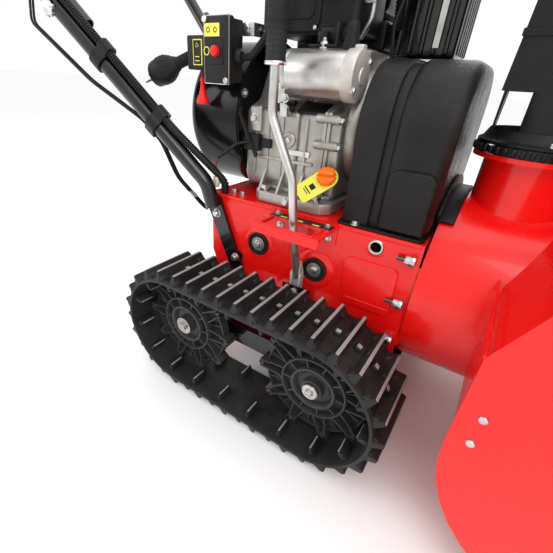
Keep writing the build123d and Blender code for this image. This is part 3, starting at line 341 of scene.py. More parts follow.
def bare_metal(name, colour, roughness, stretch, depth):
    """Plated, drawn or brushed metal: streaks along one direction and a dull film."""
    material = bpy.data.materials.new(name)
    material.use_nodes = True
    tree = material.node_tree
    nodes = tree.nodes
    links = tree.links
    nodes.clear()
    out = nodes.new("ShaderNodeOutputMaterial")
    out.label = "Metal surface"
    out.location = (900, 0)
    shader = nodes.new("ShaderNodeBsdfPrincipled")
    shader.label = "Bare metal"
    shader.location = (600, 0)
    shader.inputs["Metallic"].default_value = 1.0
    place = nodes.new("ShaderNodeTexCoord")
    place.label = "Place on the machine"
    place.location = (-900, 0)
    streak_frame = nodes.new("NodeFrame")
    streak_frame.label = "Streaks of the drawing or brushing"
    along = nodes.new("ShaderNodeMapping")
    along.label = "Streak direction"
    along.location = (-700, 200)
    along.parent = streak_frame
    along.inputs["Scale"].default_value = stretch
    streaks = nodes.new("ShaderNodeTexNoise")
    streaks.label = "Streaks"
    streaks.location = (-500, 200)
    streaks.parent = streak_frame
    streaks.inputs["Scale"].default_value = 1.0
    streaks.inputs["Detail"].default_value = 5.0
    streaks.inputs["Roughness"].default_value = 0.65
    gloss = nodes.new("ShaderNodeMapRange")
    gloss.label = "Streaks vary the gloss"
    gloss.location = (-250, 60)
    gloss.parent = streak_frame
    gloss.inputs["From Min"].default_value = 0.3
    gloss.inputs["From Max"].default_value = 0.7
    gloss.inputs["To Min"].default_value = roughness * 0.7
    gloss.inputs["To Max"].default_value = roughness * 1.35
    relief = nodes.new("ShaderNodeBump")
    relief.label = "Streaks as relief"
    relief.location = (-250, -180)
    relief.parent = streak_frame
    relief.inputs["Strength"].default_value = depth
    relief.inputs["Distance"].default_value = 0.0003
    film_frame = nodes.new("NodeFrame")
    film_frame.label = "Dull film"
    film = nodes.new("ShaderNodeTexNoise")
    film.label = "Clouds of film"
    film.location = (-500, 480)
    film.parent = film_frame
    film.inputs["Scale"].default_value = 28.0
    film.inputs["Detail"].default_value = 6.0
    tint_of_film = nodes.new("ShaderNodeValToRGB")
    tint_of_film.label = "Filmed to bright metal"
    tint_of_film.location = (-250, 480)
    tint_of_film.parent = film_frame
    tint_of_film.color_ramp.elements[0].position = 0.30
    tint_of_film.color_ramp.elements[0].color = (colour[0] * 0.74, colour[1] * 0.73, colour[2] * 0.70, 1.0)
    tint_of_film.color_ramp.elements[1].position = 0.62
    tint_of_film.color_ramp.elements[1].color = (colour[0], colour[1], colour[2], 1.0)
    links.new(place.outputs["Object"], along.inputs["Vector"])
    links.new(along.outputs["Vector"], streaks.inputs["Vector"])
    links.new(streaks.outputs["Fac"], gloss.inputs["Value"])
    links.new(gloss.outputs["Result"], shader.inputs["Roughness"])
    links.new(streaks.outputs["Fac"], relief.inputs["Height"])
    links.new(relief.outputs["Normal"], shader.inputs["Normal"])
    links.new(place.outputs["Object"], film.inputs["Vector"])
    links.new(film.outputs["Fac"], tint_of_film.inputs["Fac"])
    links.new(tint_of_film.outputs["Color"], shader.inputs["Base Color"])
    links.new(shader.outputs["BSDF"], out.inputs["Surface"])
    return material


def cast_metal(name, colour, roughness, metallic):
    """Sand-cast metal: pebbled skin, clouds of darker grime and brighter high spots."""
    material = bpy.data.materials.new(name)
    material.use_nodes = True
    tree = material.node_tree
    nodes = tree.nodes
    links = tree.links
    nodes.clear()
    out = nodes.new("ShaderNodeOutputMaterial")
    out.label = "Cast surface"
    out.location = (900, 0)
    shader = nodes.new("ShaderNodeBsdfPrincipled")
    shader.label = "Cast metal"
    shader.location = (600, 0)
    shader.inputs["Metallic"].default_value = metallic
    place = nodes.new("ShaderNodeTexCoord")
    place.label = "Place on the machine"
    place.location = (-900, 0)
    grime_frame = nodes.new("NodeFrame")
    grime_frame.label = "Grime"
    grime = nodes.new("ShaderNodeTexNoise")
    grime.label = "Cloudy grime"
    grime.location = (-600, 260)
    grime.parent = grime_frame
    grime.inputs["Scale"].default_value = 19.0
    grime.inputs["Detail"].default_value = 8.0
    grime.inputs["Roughness"].default_value = 0.6
    grime_tone = nodes.new("ShaderNodeValToRGB")
    grime_tone.label = "Grimy to clean casting"
    grime_tone.location = (-350, 260)
    grime_tone.parent = grime_frame
    grime_tone.color_ramp.elements[0].position = 0.28
    grime_tone.color_ramp.elements[0].color = (colour[0] * 0.66, colour[1] * 0.62, colour[2] * 0.56, 1.0)
    grime_tone.color_ramp.elements[1].position = 0.56
    grime_tone.color_ramp.elements[1].color = (colour[0], colour[1], colour[2], 1.0)
    sand_frame = nodes.new("NodeFrame")
    sand_frame.label = "Sand-cast skin"
    sand = nodes.new("ShaderNodeTexNoise")
    sand.label = "Pebbled skin"
    sand.location = (-600, -200)
    sand.parent = sand_frame
    sand.inputs["Scale"].default_value = 460.0
    sand.inputs["Detail"].default_value = 4.0
    skin = nodes.new("ShaderNodeBump")
    skin.label = "Skin as relief"
    skin.location = (-350, -300)
    skin.parent = sand_frame
    skin.inputs["Strength"].default_value = 0.35
    skin.inputs["Distance"].default_value = 0.0006
    matt = nodes.new("ShaderNodeMapRange")
    matt.label = "High spots shine"
    matt.location = (-350, -60)
    matt.parent = sand_frame
    matt.inputs["To Min"].default_value = roughness * 1.25
    matt.inputs["To Max"].default_value = roughness * 0.75
    links.new(place.outputs["Object"], grime.inputs["Vector"])
    links.new(grime.outputs["Fac"], grime_tone.inputs["Fac"])
    links.new(grime_tone.outputs["Color"], shader.inputs["Base Color"])
    links.new(place.outputs["Object"], sand.inputs["Vector"])
    links.new(sand.outputs["Fac"], skin.inputs["Height"])
    links.new(skin.outputs["Normal"], shader.inputs["Normal"])
    links.new(sand.outputs["Fac"], matt.inputs["Value"])
    links.new(matt.outputs["Result"], shader.inputs["Roughness"])
    links.new(shader.outputs["BSDF"], out.inputs["Surface"])
    return material


def finish_named(name):
    """The finish of that name."""
    return bpy.data.materials[name]


# ---------------------------------------------------------------- modelling helpers
def start_piece():
    """Empty mesh with a record of which faces already have their finish."""
    bm = bmesh.new()
    bm.faces.layers.int.new("tinted")
    return bm


def tint(bm, slot_index):
    """Give every face made since the last call this finish."""
    layer = bm.faces.layers.int["tinted"]
    for face in bm.faces:
        if not face[layer]:
            face.material_index = slot_index
            face[layer] = 1


def soften(bm, verts, size, segments=2, angle=32.0):
    """Round the sharp edges of one solid."""
    edges = {}  # a dict keeps the edges in the order they were met, so that each run is the same
    for vert in verts:
        for edge in vert.link_edges:
            if len(edge.link_faces) == 2 and abs(edge.calc_face_angle(0.0)) > math.radians(angle):
                edges[edge] = True
    if edges:
        bmesh.ops.bevel(bm, geom=list(edges), offset=size * MM, offset_type="OFFSET", segments=segments,
                        profile=0.5, affect="EDGES", clamp_overlap=True, material=-1)


def block(bm, x, y, z, edge=0.0, segments=2, at=None):
    """Box between two values on each axis, with rounded edges."""
    made = bmesh.ops.create_cube(bm, size=1.0)["verts"]
    bmesh.ops.scale(bm, vec=Vector((x[1] - x[0], y[1] - y[0], z[1] - z[0])) * MM, verts=made)
    bmesh.ops.translate(bm, vec=Vector((x[0] + x[1], y[0] + y[1], z[0] + z[1])) * MM / 2, verts=made)
    if at is not None:
        bmesh.ops.transform(bm, matrix=at, verts=made)
    if edge:
        soften(bm, made, edge, segments)
    return made


def round_bar(bm, start, end, r, r_end=None, sides=32, edge=0.0, at=None):
    """Straight round bar or cone from one point to another."""
    start = Vector(start) * MM
    end = Vector(end) * MM
    along = end - start
    place = Matrix.Translation((start + end) / 2) @ along.to_track_quat("Z", "Y").to_matrix().to_4x4()
    made = bmesh.ops.create_cone(bm, cap_ends=True, segments=sides, radius1=r * MM,
                                 radius2=(r if r_end is None else r_end) * MM, depth=along.length,
                                 matrix=place)["verts"]
    if at is not None:
        bmesh.ops.transform(bm, matrix=at, verts=made)
    if edge:
        soften(bm, made, edge, 2, 50.0)
    return made


def slab(bm, outline, push, edge=0.0, segments=2, at=None):
    """Flat outline of corners pushed out into a solid."""
    corners = [bm.verts.new(Vector(c) * MM) for c in outline]
    face = bm.faces.new(corners)
    made = bmesh.ops.extrude_face_region(bm, geom=[face])["geom"]
    moved = [v for v in made if isinstance(v, bmesh.types.BMVert)]
    bmesh.ops.translate(bm, vec=Vector(push) * MM, verts=moved)
    solid = corners + moved
    if at is not None:
        bmesh.ops.transform(bm, matrix=at, verts=solid)
    faces = list(dict.fromkeys(f for v in solid for f in v.link_faces))
    bmesh.ops.recalc_face_normals(bm, faces=faces)
    if edge:
        soften(bm, solid, edge, segments)
    return solid


def upright(points, y0, y1):
    """Outline in x and z standing across the machine, and its push."""
    return [(x, y0, z) for x, z in points], (0, y1 - y0, 0)


def turned(bm, profile, centre, axis, steps=48, closed=True):
    """Outline of (radius, distance along the axis) spun a full turn."""
    axis = Vector(axis).normalized()
    side = axis.orthogonal().normalized()
    ring = [bm.verts.new((Vector(centre) + axis * along + side * r) * MM) for r, along in profile]
    count = len(ring) if closed else len(ring) - 1
    edges = [bm.edges.new((ring[i], ring[(i + 1) % len(ring)])) for i in range(count)]
    bmesh.ops.spin(bm, geom=ring + edges, cent=Vector(centre) * MM, axis=axis, dvec=(0, 0, 0),
                   angle=math.tau, steps=steps, use_merge=True, use_duplicate=False)


def line_through(points, bend):
    """Control points that keep straight runs straight and turn within a bend of each corner."""
    route = [Vector(points[0])]
    for before, corner, after in zip(points, points[1:], points[2:]):
        corner = Vector(corner)
        back = Vector(before) - corner
        ahead = Vector(after) - corner
        route.append(corner + back.normalized() * min(bend, back.length * 0.45))
        route.append(corner)
        route.append(corner + ahead.normalized() * min(bend, ahead.length * 0.45))
    route.append(Vector(points[-1]))
    return route


def curve_mesh(points, bend, r, sides):
    """Mesh of a smooth bar along a route, or of its bare line when r is 0."""
    curve = bpy.data.curves.new("route", "CURVE")
    curve.dimensions = "3D"
    curve.resolution_u = 6
    curve.bevel_depth = r * MM
    curve.bevel_resolution = sides
    curve.use_fill_caps = r > 0
    spline = curve.splines.new("NURBS")
    route = line_through(points, bend)
    spline.points.add(len(route) - 1)
    for point, place in zip(spline.points, route):
        point.co = (place.x * MM, place.y * MM, place.z * MM, 1.0)
    spline.order_u = 3
    spline.use_endpoint_u = True
    holder = bpy.data.objects.new("route", curve)
    bpy.context.scene.collection.objects.link(holder)
    bpy.context.view_layer.update()
    mesh = bpy.data.meshes.new_from_object(holder.evaluated_get(bpy.context.evaluated_depsgraph_get()))
    bpy.data.objects.remove(holder)
    bpy.data.curves.remove(curve)
    return mesh


def bent_bar(bm, points, r, bend=22.0, sides=6):
    """Bar, tube or cable of one thickness along a bent route."""
    mesh = curve_mesh(points, bend, r, sides)
    bm.from_mesh(mesh)
    bpy.data.meshes.remove(mesh)


def stations(points, bend, pitch):
    """Evenly spaced places along a route, each with its direction, in millimetres."""
    mesh = curve_mesh(points, bend, 0.0, 0)
    line = [v.co / MM for v in mesh.vertices]
    bpy.data.meshes.remove(mesh)
    places = []
    rest = 0.0
    for start, end in zip(line, line[1:]):
        run = (end - start).length
        while rest < run:
            places.append((start.lerp(end, rest / run), (end - start).normalized()))
            rest += pitch
        rest -= run
    return places


def hex_bolt(bm, foot, direction, across, height, washer=0.0):
    """Hexagon head with its washer and turned-down crown, standing on a surface."""
    foot = Vector(foot)
    direction = Vector(direction).normalized()
    if washer:
        round_bar(bm, foot, foot + direction * 1.6, washer, sides=28, edge=0.3)
        foot = foot + direction * 1.6
    round_bar(bm, foot, foot + direction * height * 0.82, across / 1.732, sides=6, edge=0.5)
    round_bar(bm, foot + direction * height * 0.8, foot + direction * height, across * 0.47,
              across * 0.38, sides=20)


def finish_piece(bm, name, body, finishes, replaced=(), angle=38.0):
    """Close the mesh, point its faces outwards and hang it on its body."""
    bm.faces.layers.int.remove(bm.faces.layers.int["tinted"])
    bmesh.ops.remove_doubles(bm, verts=bm.verts, dist=0.000002)
    bmesh.ops.recalc_face_normals(bm, faces=bm.faces)
    for face in bm.faces:
        face.smooth = True
    mesh = bpy.data.meshes.new(name)
    bm.to_mesh(mesh)
    bm.free()
    mesh.set_sharp_from_angle(angle=math.radians(angle))
    for finish in finishes:
        mesh.materials.append(finish_named(finish))
    piece = bpy.data.objects.new(name, mesh)
    bpy.context.scene.collection.objects.link(piece)
    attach(piece, body)
    if replaced:
        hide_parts(*replaced)
    return piece


class SNOWBLOWER_OT_finishes(bpy.types.Operator):
    """Makes every finish and gives it to the CAD nodes that stay in view"""

    bl_idname = "snowblower.finishes"
    bl_label = "Finishes"

    def execute(self, context):
        colours = context.scene.snowblower_colours
        painted_metal("red_paint", colours.red, 0.25, 0.25)
        painted_metal("black_enamel", colours.enamel, 0.20, 0.5)
        moulding("track_rubber", colours.rubber, 0.50, 520.0, 0.35, 0.022)
        # Finish of the bar crests, cube tops and lug tips: scuffed rubber lightened further as a painted
        # highlight.
        moulding("worn_rubber_and_painted_highlight", colours.worn, 0.66, 420.0, 0.5, 0.09)
        moulding("dull_rubber", (0.006, 0.006, 0.0065), 0.48, 650.0, 0.25, 0.009)
        moulding("grip_rubber", (0.009, 0.009, 0.0095), 0.55, 800.0, 0.4, 0.012)
        moulding("black_plastic", colours.plastic, 0.36, 700.0, 0.2, 0.007)
        moulding("grained_plastic", (0.0075, 0.007, 0.007), 0.30, 900.0, 0.45, 0.006)
        moulding("gloss_plastic", (0.004, 0.004, 0.0045), 0.16, 380.0, 0.06, 0.003)
        moulding("wheel_plastic", (0.036, 0.036, 0.037), 0.36, 600.0, 0.2, 0.018)
        moulding("box_plastic", (0.010, 0.0097, 0.0095), 0.46, 850.0, 0.4, 0.008)
        moulding("red_plastic", (0.72, 0.014, 0.012), 0.30, 420.0, 0.12, 0.01)
        moulding("orange_plastic", colours.oil_cap, 0.34, 420.0, 0.12, 0.02)
        moulding("cream_plastic", (0.74, 0.68, 0.50), 0.45, 420.0, 0.15, 0.03)
        moulding("brown_wire", (0.16, 0.055, 0.018), 0.5, 500.0, 0.1, 0.02)
        moulding("yellow_sticker", colours.sticker, 0.36, 300.0, 0.05, 0.02)
        bare_metal("zinc_plate", (0.60, 0.60, 0.585), 0.30, (60.0, 60.0, 60.0), 0.2)
        bare_metal("lever_steel", (0.66, 0.655, 0.64), 0.34, (90.0, 90.0, 14.0), 0.15)
        bare_metal("drawn_steel", (0.62, 0.615, 0.60), 0.36, (24.0, 120.0, 120.0), 0.2)
        bare_metal("bright_steel", (0.72, 0.72, 0.71), 0.20, (30.0, 160.0, 160.0), 0.15)
        bare_metal("chrome_plate", (0.80, 0.80, 0.81), 0.09, (30.0, 30.0, 30.0), 0.05)
        bare_metal("chain_steel", (0.20, 0.19, 0.18), 0.42, (120.0, 120.0, 120.0), 0.3)
        bare_metal("pale_plate", (0.74, 0.73, 0.70), 0.38, (180.0, 30.0, 60.0), 0.1)
        bare_metal("axle_steel", (0.46, 0.455, 0.44), 0.27, (80.0, 80.0, 80.0), 0.2)
        cast_metal("cast_alloy", colours.casting, 0.40, 0.75)
        cast_metal("light_casting", (0.62, 0.60, 0.57), 0.46, 0.5)
        cast_metal("cast_iron", (0.10, 0.10, 0.10), 0.6, 0.6)
        wearers = {
            "red_paint": ("chassis_frame", "lever_guide", "impeller_drum", "auger_housing"),
            "black_enamel": ("bottom_cover", "scraper_bar", "skid_shoes", "handle_lower", "handle_upper",
                             "track_frames",
                             "auger_right", "auger_left", "impeller", "shift_lever", "clutch_lever_right",
                             "clutch_lever_left"),
            "axle_steel": ("rear_axle", "drive_axle"),
            "zinc_plate": ("fasteners", "countershaft", "hex_shaft", "auger_shaft",
                           "impeller_shaft", "bearings"),
            "chain_steel": ("drive_chains",),
            "dull_rubber": ("drive_belts", "chute_flap", "mains_plug", "engine_cables", "hand_grips",
                            "control_cables", "friction_wheel"),
            "cast_iron": ("auger_gearbox", "crankshaft", "auger_pulley"),
            "black_plastic": ("switch_box", "control_panel", "cable_clips", "chute", "chute_deflector",
                              "chute_lever",
                              "fuel_cap", "drive_wheel_right", "drive_wheel_left", "idler_wheel_right",
                              "idler_wheel_left", "engine_shroud"),
            "grained_plastic": ("belt_cover",),
            "gloss_plastic": ("fan_housing", "fuel_tank", "recoil_handle"),
            "track_rubber": ("track_belt_right", "track_belt_left"),
            "grip_rubber": ("lever_grip",),
            "lever_steel": ("height_lever",),
            "cast_alloy": ("engine_block",),
            "drawn_steel": ("starter_motor",),
            "bright_steel": ("friction_disc",),
            "red_plastic": ("starter_button",),
            "orange_plastic": ("dipstick",),
        }
        for finish, nodes in wearers.items():
            for node in nodes:
                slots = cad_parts[node].data.materials
                slots.clear()
                slots.append(finish_named(finish))
        return {"FINISHED"}


# ---------------------------------------------------------------- tracks and wheels
def on_track(distance):
    """Frame of a place on the track's path: x along the belt, y across it, z outwards."""
    arc = math.pi * PATH_RADIUS
    if distance < arc:
        angle = -math.pi / 2 + distance / PATH_RADIUS
        centre = FRONT_AXLE_X
    elif distance < arc + WHEELBASE:
        angle = math.pi / 2
        centre = FRONT_AXLE_X - (distance - arc)
    elif distance < 2 * arc + WHEELBASE:
        angle = math.pi / 2 + (distance - arc - WHEELBASE) / PATH_RADIUS
        centre = REAR_AXLE_X
    else:
        angle = -math.pi / 2
        centre = REAR_AXLE_X + (distance - 2 * arc - WHEELBASE)
    out = Vector((math.cos(angle), 0, math.sin(angle)))
    along = Vector((-math.sin(angle), 0, math.cos(angle)))
    place = Matrix((along, Vector((0, 1, 0)), out)).transposed().to_4x4()
    return Matrix.Translation(Vector((centre, 0, AXLE_Z)) * MM) @ place


def track_bar(bm, distance, side, near, far, tip):
    """One tread bar: sloping sides, a narrow crest in pale rubber that is partly wear and partly painted
    highlight, ends cut back and a stiffener at its middle.
    """
    at = on_track(distance)
    half = tip / 2
    shape = [(-9.5, 129), (-7.0, 132.5), (-half - 1.6, 144), (-half, 148.2), (half, 148.2),
             (half + 1.4, 143), (6.5, 132.5), (9.0, 129)]
    body = slab(bm, [(u, side * near, r) for u, r in shape], (0, side * (far - near), 0))
    crest = [v for v in body if v.co.z > 140 * MM]
    for v in crest:
        v.co.y += side * MM * (4.5 if abs(v.co.y) < 240 * MM else -4.5)
    bmesh.ops.transform(bm, matrix=at, verts=body)
    for low in (near + 2, far - 22):
        foot = [(-13.0, side * low, 129), (-7.0, side * low, 140.5), (6.5, side * low, 140.5),
                (12.0, side * low, 129)]
        slab(bm, foot, (0, side * 20, 0), 2.2, 1, at=at)
    block(bm, (-2.0, 6.8), sorted((side * 233, side * 247)), (130, 145.5), 1.2, 1, at=at)
    tint(bm, 0)
    # Pale strip on the crest: worn rubber that is also a painted highlight.
    block(bm, (-half + 0.3, half - 0.3), sorted((side * (near + 6), side * (far - 6))), (147.6, 149.6),
          0.6, 1, at=at)
    tint(bm, 1)


def track_loop(context, side):
    """Rubber track: band, lipped edges, bars, guide cubes, fine ribs and the inner drive lugs."""
    sizes = context.scene.snowblower_sizes
    bm = start_piece()
    section = [(172, 124.5), (176, 123.0), (304, 123.0), (308, 124.5), (308, 129.5), (305.5, 131),
               (174.5, 131), (172, 129.5)]
    ring = [bm.verts.new(Vector((FRONT_AXLE_X, side * y, AXLE_Z - r)) * MM) for y, r in section]
    edges = [bm.edges.new((a, b)) for a, b in zip(ring, ring[1:] + ring[:1])]
    for centre, run in ((FRONT_AXLE_X, -WHEELBASE), (REAR_AXLE_X, WHEELBASE)):
        turn = bmesh.ops.spin(bm, geom=ring + edges, cent=Vector((centre, 0, AXLE_Z)) * MM, axis=(0, -1, 0),
                              dvec=(0, 0, 0), angle=math.pi, steps=30, use_merge=False, use_duplicate=False)
        edges = [g for g in turn["geom_last"] if isinstance(g, bmesh.types.BMEdge)]
        made = bmesh.ops.extrude_edge_only(bm, edges=edges)["geom"]
        ring = [g for g in made if isinstance(g, bmesh.types.BMVert)]
        edges = [g for g in made if isinstance(g, bmesh.types.BMEdge)]
        bmesh.ops.translate(bm, vec=Vector((run, 0, 0)) * MM, verts=ring)
        edges = [e for e in edges if e.verts[0] in ring and e.verts[1] in ring]
    tint(bm, 0)
    bar_pitch = TRACK_LENGTH / BAR_COUNT
    for index in range(BAR_COUNT):
        shift = 2.5 if index % 2 else 0.0
        track_bar(bm, (index + 0.5) * bar_pitch, side, 172.2 + shift, 305.3 + shift, sizes.tread_tip / MM)
        at = on_track((index + 1.0) * bar_pitch - 0.001)
        block(bm, (-6.5, 6.5), sorted((side * 233, side * 247)), (129, 138.5), 1.6, 1, at=at)
        for u in (-7.4, -2.6, 2.6, 7.4):
            for low in (180, 256):
                block(bm, (u - 0.9, u + 0.9), sorted((side * low, side * (low + 44))),
                      (130, 131 + sizes.tread_rib / MM), at=at)
        tint(bm, 0)
        # Pale cap on the guide cube: worn rubber that is also a painted highlight.
        block(bm, (-4.4, 4.4), sorted((side * 235.5, side * 244.5)), (138.0, 139.6), 0.8, 1, at=at)
        tint(bm, 1)
    lug_pitch = TRACK_LENGTH / LUG_COUNT
    for index in range(LUG_COUNT):
        at = on_track((index + 0.5) * lug_pitch)
        for low in (181, 261):
            outline = [(-6.5, side * low, 124.5), (-3.4, side * low, 107.5), (-2.0, side * low, 105.4),
                       (2.0, side * low, 105.4), (3.4, side * low, 107.5), (6.5, side * low, 124.5)]
            slab(bm, outline, (0, side * 38, 0), 1.4, 2, at=at)
        tint(bm, 0)
        # Pale tips on the inner lugs: worn rubber that is also a painted highlight.
        for low in (184, 264):
            block(bm, (-1.7, 1.7), sorted((side * low, side * (low + 32))), (104.4, 106), 0.6, 1, at=at)
        tint(bm, 1)
    word = "right" if side == RIGHT else "left"
    finish_piece(bm, f"track_rubber_{word}", "track_carriage", ("track_rubber", "worn_rubber_and_painted_highlight"),
                 (f"track_belt_{word}",))


def spoked_wheel(x, side, name, body, replaced, bore):
    """Moulded track wheel: recessed hub, two ribbed rings, a thin disc and ten hooked paddles."""
    bm = start_piece()
    middle = (x, side * TRACK_Y, AXLE_Z)
    out = (0, side, 0)
    turned(bm, [(bore, -17), (27, -17), (27, -7), (60, -7), (60, -16), (62, -16), (66.5, -15), (66.5, 15),
                (65.5, 16.5), (62.8, 16.5), (62.0, 15), (62.0, 1), (45.5, 1), (45.5, 15), (44.5, 17.5),
                (40.5, 17.5), (37.5, 14), (36, 5), (31, 4), (30.5, 7), (22, 7.5), (21, 20.5), (bore, 20.5)],
           middle, out, 60)
    turned(bm, [(66, -6), (100, -6), (100, -12), (103, -12), (103, 7), (100.5, 8), (100, -3), (66, -3)],
           middle, out, 60)
    for index in range(PADDLE_COUNT):
        turn = Matrix.Rotation(math.tau * index / PADDLE_COUNT, 4, "Y")
        at = Matrix.Translation(Vector(middle) * MM) @ turn
        inner = sorted((side * 0.0, side * 15.0))
        block(bm, (44, 63), inner, (-1.6, 1.6), 0.6, 1, at=at)
        for lean in (-1, 1):
            web = [(64.5, side * -3, lean * 10.6), (64.0, side * -3, lean * 14.2),
                   (112, side * -3, lean * 8.8), (112, side * -3, lean * 5.6)]
            slab(bm, web, (0, side * 16, 0), 0.5, 1, at=at)
            slab(bm, [(96, side * -15, lean * 5.4), (96, side * -15, lean * 8.2),
                      (117, side * -15, lean * 9.8),
                      (117, side * -15, lean * 6.6)], (0, side * 30, 0), 0.9, 2, at=at)
        block(bm, (108.6, 112.0), (-15, 15), (-8.6, 8.6), 1.2, 2, at=at)
        block(bm, (110, 119.6), (-15.5, 15.5), (-3.4, 3.4), 2.0, 3, at=at)
        between = at @ Matrix.Rotation(math.pi / PADDLE_COUNT, 4, "Y")
        block(bm, (65, 102), sorted((side * -5.0, side * 6.0)), (-1.2, 1.2), 0.5, 1, at=between)
    tint(bm, 0)
    finish_piece(bm, name, body, ("wheel_plastic",), (replaced,))


class SNOWBLOWER_OT_tracks(bpy.types.Operator):
    """Both rubber tracks with their bars, ribs and lugs"""

    bl_idname = "snowblower.tracks"
    bl_label = "Tracks"

    def execute(self, context):
        track_loop(context, RIGHT)
        track_loop(context, LEFT)
        return {"FINISHED"}


class SNOWBLOWER_OT_wheels(bpy.types.Operator):
    """The four moulded track wheels and their bright axle bolts"""

    bl_idname = "snowblower.wheels"
    bl_label = "Track wheels"

    def execute(self, context):
        for side, word in ((RIGHT, "right"), (LEFT, "left")):
            spoked_wheel(FRONT_AXLE_X, side, f"drive_wheel_moulding_{word}", "drive_axle",
                         f"drive_wheel_{word}", 12.6)
            spoked_wheel(REAR_AXLE_X, side, f"idler_wheel_moulding_{word}", f"idler_{word}",
                         f"idler_wheel_{word}", 10.2)
            for x, body in ((FRONT_AXLE_X, "drive_axle"), (REAR_AXLE_X, "track_carriage")):
                bm = start_piece()
                face = 265.0 if body == "drive_axle" else 261.0
                turned(bm, [(8, 0), (15.4, 0), (15.4, 1.4), (14.2, 2.4), (8, 2.4)],
                       (x, side * face, AXLE_Z), (0, side, 0), 40)
                round_bar(bm, (x, side * face, AXLE_Z), (x, side * (face + 6.4), AXLE_Z), 7.6, sides=6,
                          edge=0.7)
                turned(bm, [(2.2, 5.5), (5.0, 5.5), (5.0, 7.6), (4.2, 8.4), (2.6, 8.4), (2.2, 7.8)],
                       (x, side * face, AXLE_Z), (0, side, 0), 28)
                tint(bm, 0)
                finish_piece(bm, f"axle_end_{body}_{word}", body, ("zinc_plate",))
        return {"FINISHED"}


# ---------------------------------------------------------------- chassis
def ring_boss(bm, x, z, inner, outer, height, side):
    """Pressed ring round an opening in a chassis side."""
    turned(bm, [(inner, 0), (inner, height), (outer - 4, height), (outer, 0)], (x, side * CHASSIS_SIDE, z),
           (0, side, 0), 56)


class SNOWBLOWER_OT_chassis(bpy.types.Operator):
    """Pressings, folded lips and seals on the red chassis"""

    bl_idname = "snowblower.chassis"
    bl_label = "Chassis pressings and seals"

    def execute(self, context):
        raised = context.scene.snowblower_sizes.panel_raise / MM
        bm = start_piece()
        for side in (RIGHT, LEFT):
            ring_boss(bm, 115, 331, 27, 39, 2.6, side)
            ring_boss(bm, -15, 347, 27, 33, 1.0, side)
            ring_boss(bm, 218, 408, 13.2, 18, 0.8, side)
            panel = [(170, 296), (180, 286), (258, 286), (264, 292), (264, 372), (256, 380), (180, 380),
                     (170, 370)]
            slab(bm, *upright(panel, side * (CHASSIS_SIDE - 0.4), side * (CHASSIS_SIDE + raised)), 2.0, 3)
            bent_bar(bm, [(182, side * 150.4, 300), (222, side * 150.6, 300), (262, side * 150.4, 300)],
                     3.0, 10, 4)
            for x in (58, 66):
                block(bm, (x - 2.4, x + 2.4), sorted((side * 149.6, side * 151.9)), (352, 402), 1.6, 3)
            block(bm, (-134, 20), sorted((side * 149.5, side * 152.4)), (DECK_Z - 6, DECK_Z + 0.6), 1.4, 3)
            block(bm, (148, 286), sorted((side * 149.5, side * 152.4)), (DECK_Z - 6, DECK_Z + 0.6), 1.4, 3)
            block(bm, (-50, 286), sorted((side * 149.5, side * 151.6)), (86.5, 96), 1.2, 2)
        block(bm, (-141, -137.5), (-146, 146), (DECK_Z - 6, DECK_Z + 0.6), 1.2, 3)
        block(bm, (-141, -137.8), (-96, 96), (330, 400), 1.2, 3)
        tint(bm, 0)
        finish_piece(bm, "chassis_pressings", "chassis", ("red_paint",))
        bm = start_piece()
        for side in (RIGHT, LEFT):
            for x, z in ((115, 331), (-15, 347)):
                centre = (x, side * CHASSIS_SIDE, z)
                out = (0, side, 0)
                turned(bm, [(15.5, -6), (24, -6), (24, 3.2), (22.8, 4.2), (20.6, 4.2), (19.8, 2.6),
                            (17.6, 2.6), (17, 3.6), (15.5, 3.4)], centre, out, 48)
                tint(bm, 0)
                turned(bm, [(8.2, -5), (15.4, -5), (15.4, 1.4), (14.4, 2.4), (11.2, 2.4), (10.6, 0.8),
                            (8.2, 0.8)],
                       centre, out, 40)
                tint(bm, 1)
            turned(bm, [(8.8, -6), (13, -6), (13, 1.6), (11.8, 3.0), (9.6, 3.0), (8.8, 2.0)],
                   (218, side * CHASSIS_SIDE, 408), (0, side, 0), 40)
            turned(bm, [(12.7, -6), (30, -6), (30, 3.0), (28, 4.0), (17, 4.0), (15.6, 1.5), (12.7, 1.5)],
                   (FRONT_AXLE_X, side * CHASSIS_SIDE, AXLE_Z), (0, side, 0), 48)
            tint(bm, 1)
        finish_piece(bm, "shaft_seals", "chassis", ("dull_rubber", "zinc_plate"), ("bearings",))
        bm = start_piece()
        for x, y in ((-101, -120), (-76, -126), (-101, 120), (-76, 126)):
            hex_bolt(bm, (x, y, DECK_Z + 0.2), (0, 0, 1), 10, 5.5, 8)
        for side in (RIGHT, LEFT):
            hex_bolt(bm, (115, side * 151.4, 331), (0, side, 0), 13, 3.2)
            hex_bolt(bm, (-15, side * 152.4, 347), (0, side, 0), 13, 5.4, 9.6)
            for z in (248, 324, 404):
                round_bar(bm, (275.5, side * 157.5, z), (284, side * 157.5, z), 9.0, 9.0, 28, 0.8)
                round_bar(bm, (268, side * 157.5, z), (276, side * 157.5, z), 7.6, sides=6, edge=0.6)
        tint(bm, 0)
        for side in (RIGHT, LEFT):
            for z in (248, 324, 404):
                for thread in range(8):
                    start = 268.6 - thread * 1.7
                    round_bar(bm, (start, side * 157.5, z), (start - 1.7, side * 157.5, z), 3.6, 3.0, 18)
        tint(bm, 1)
        finish_piece(bm, "chassis_bolts", "chassis", ("zinc_plate", "chain_steel"))
        return {"FINISHED"}


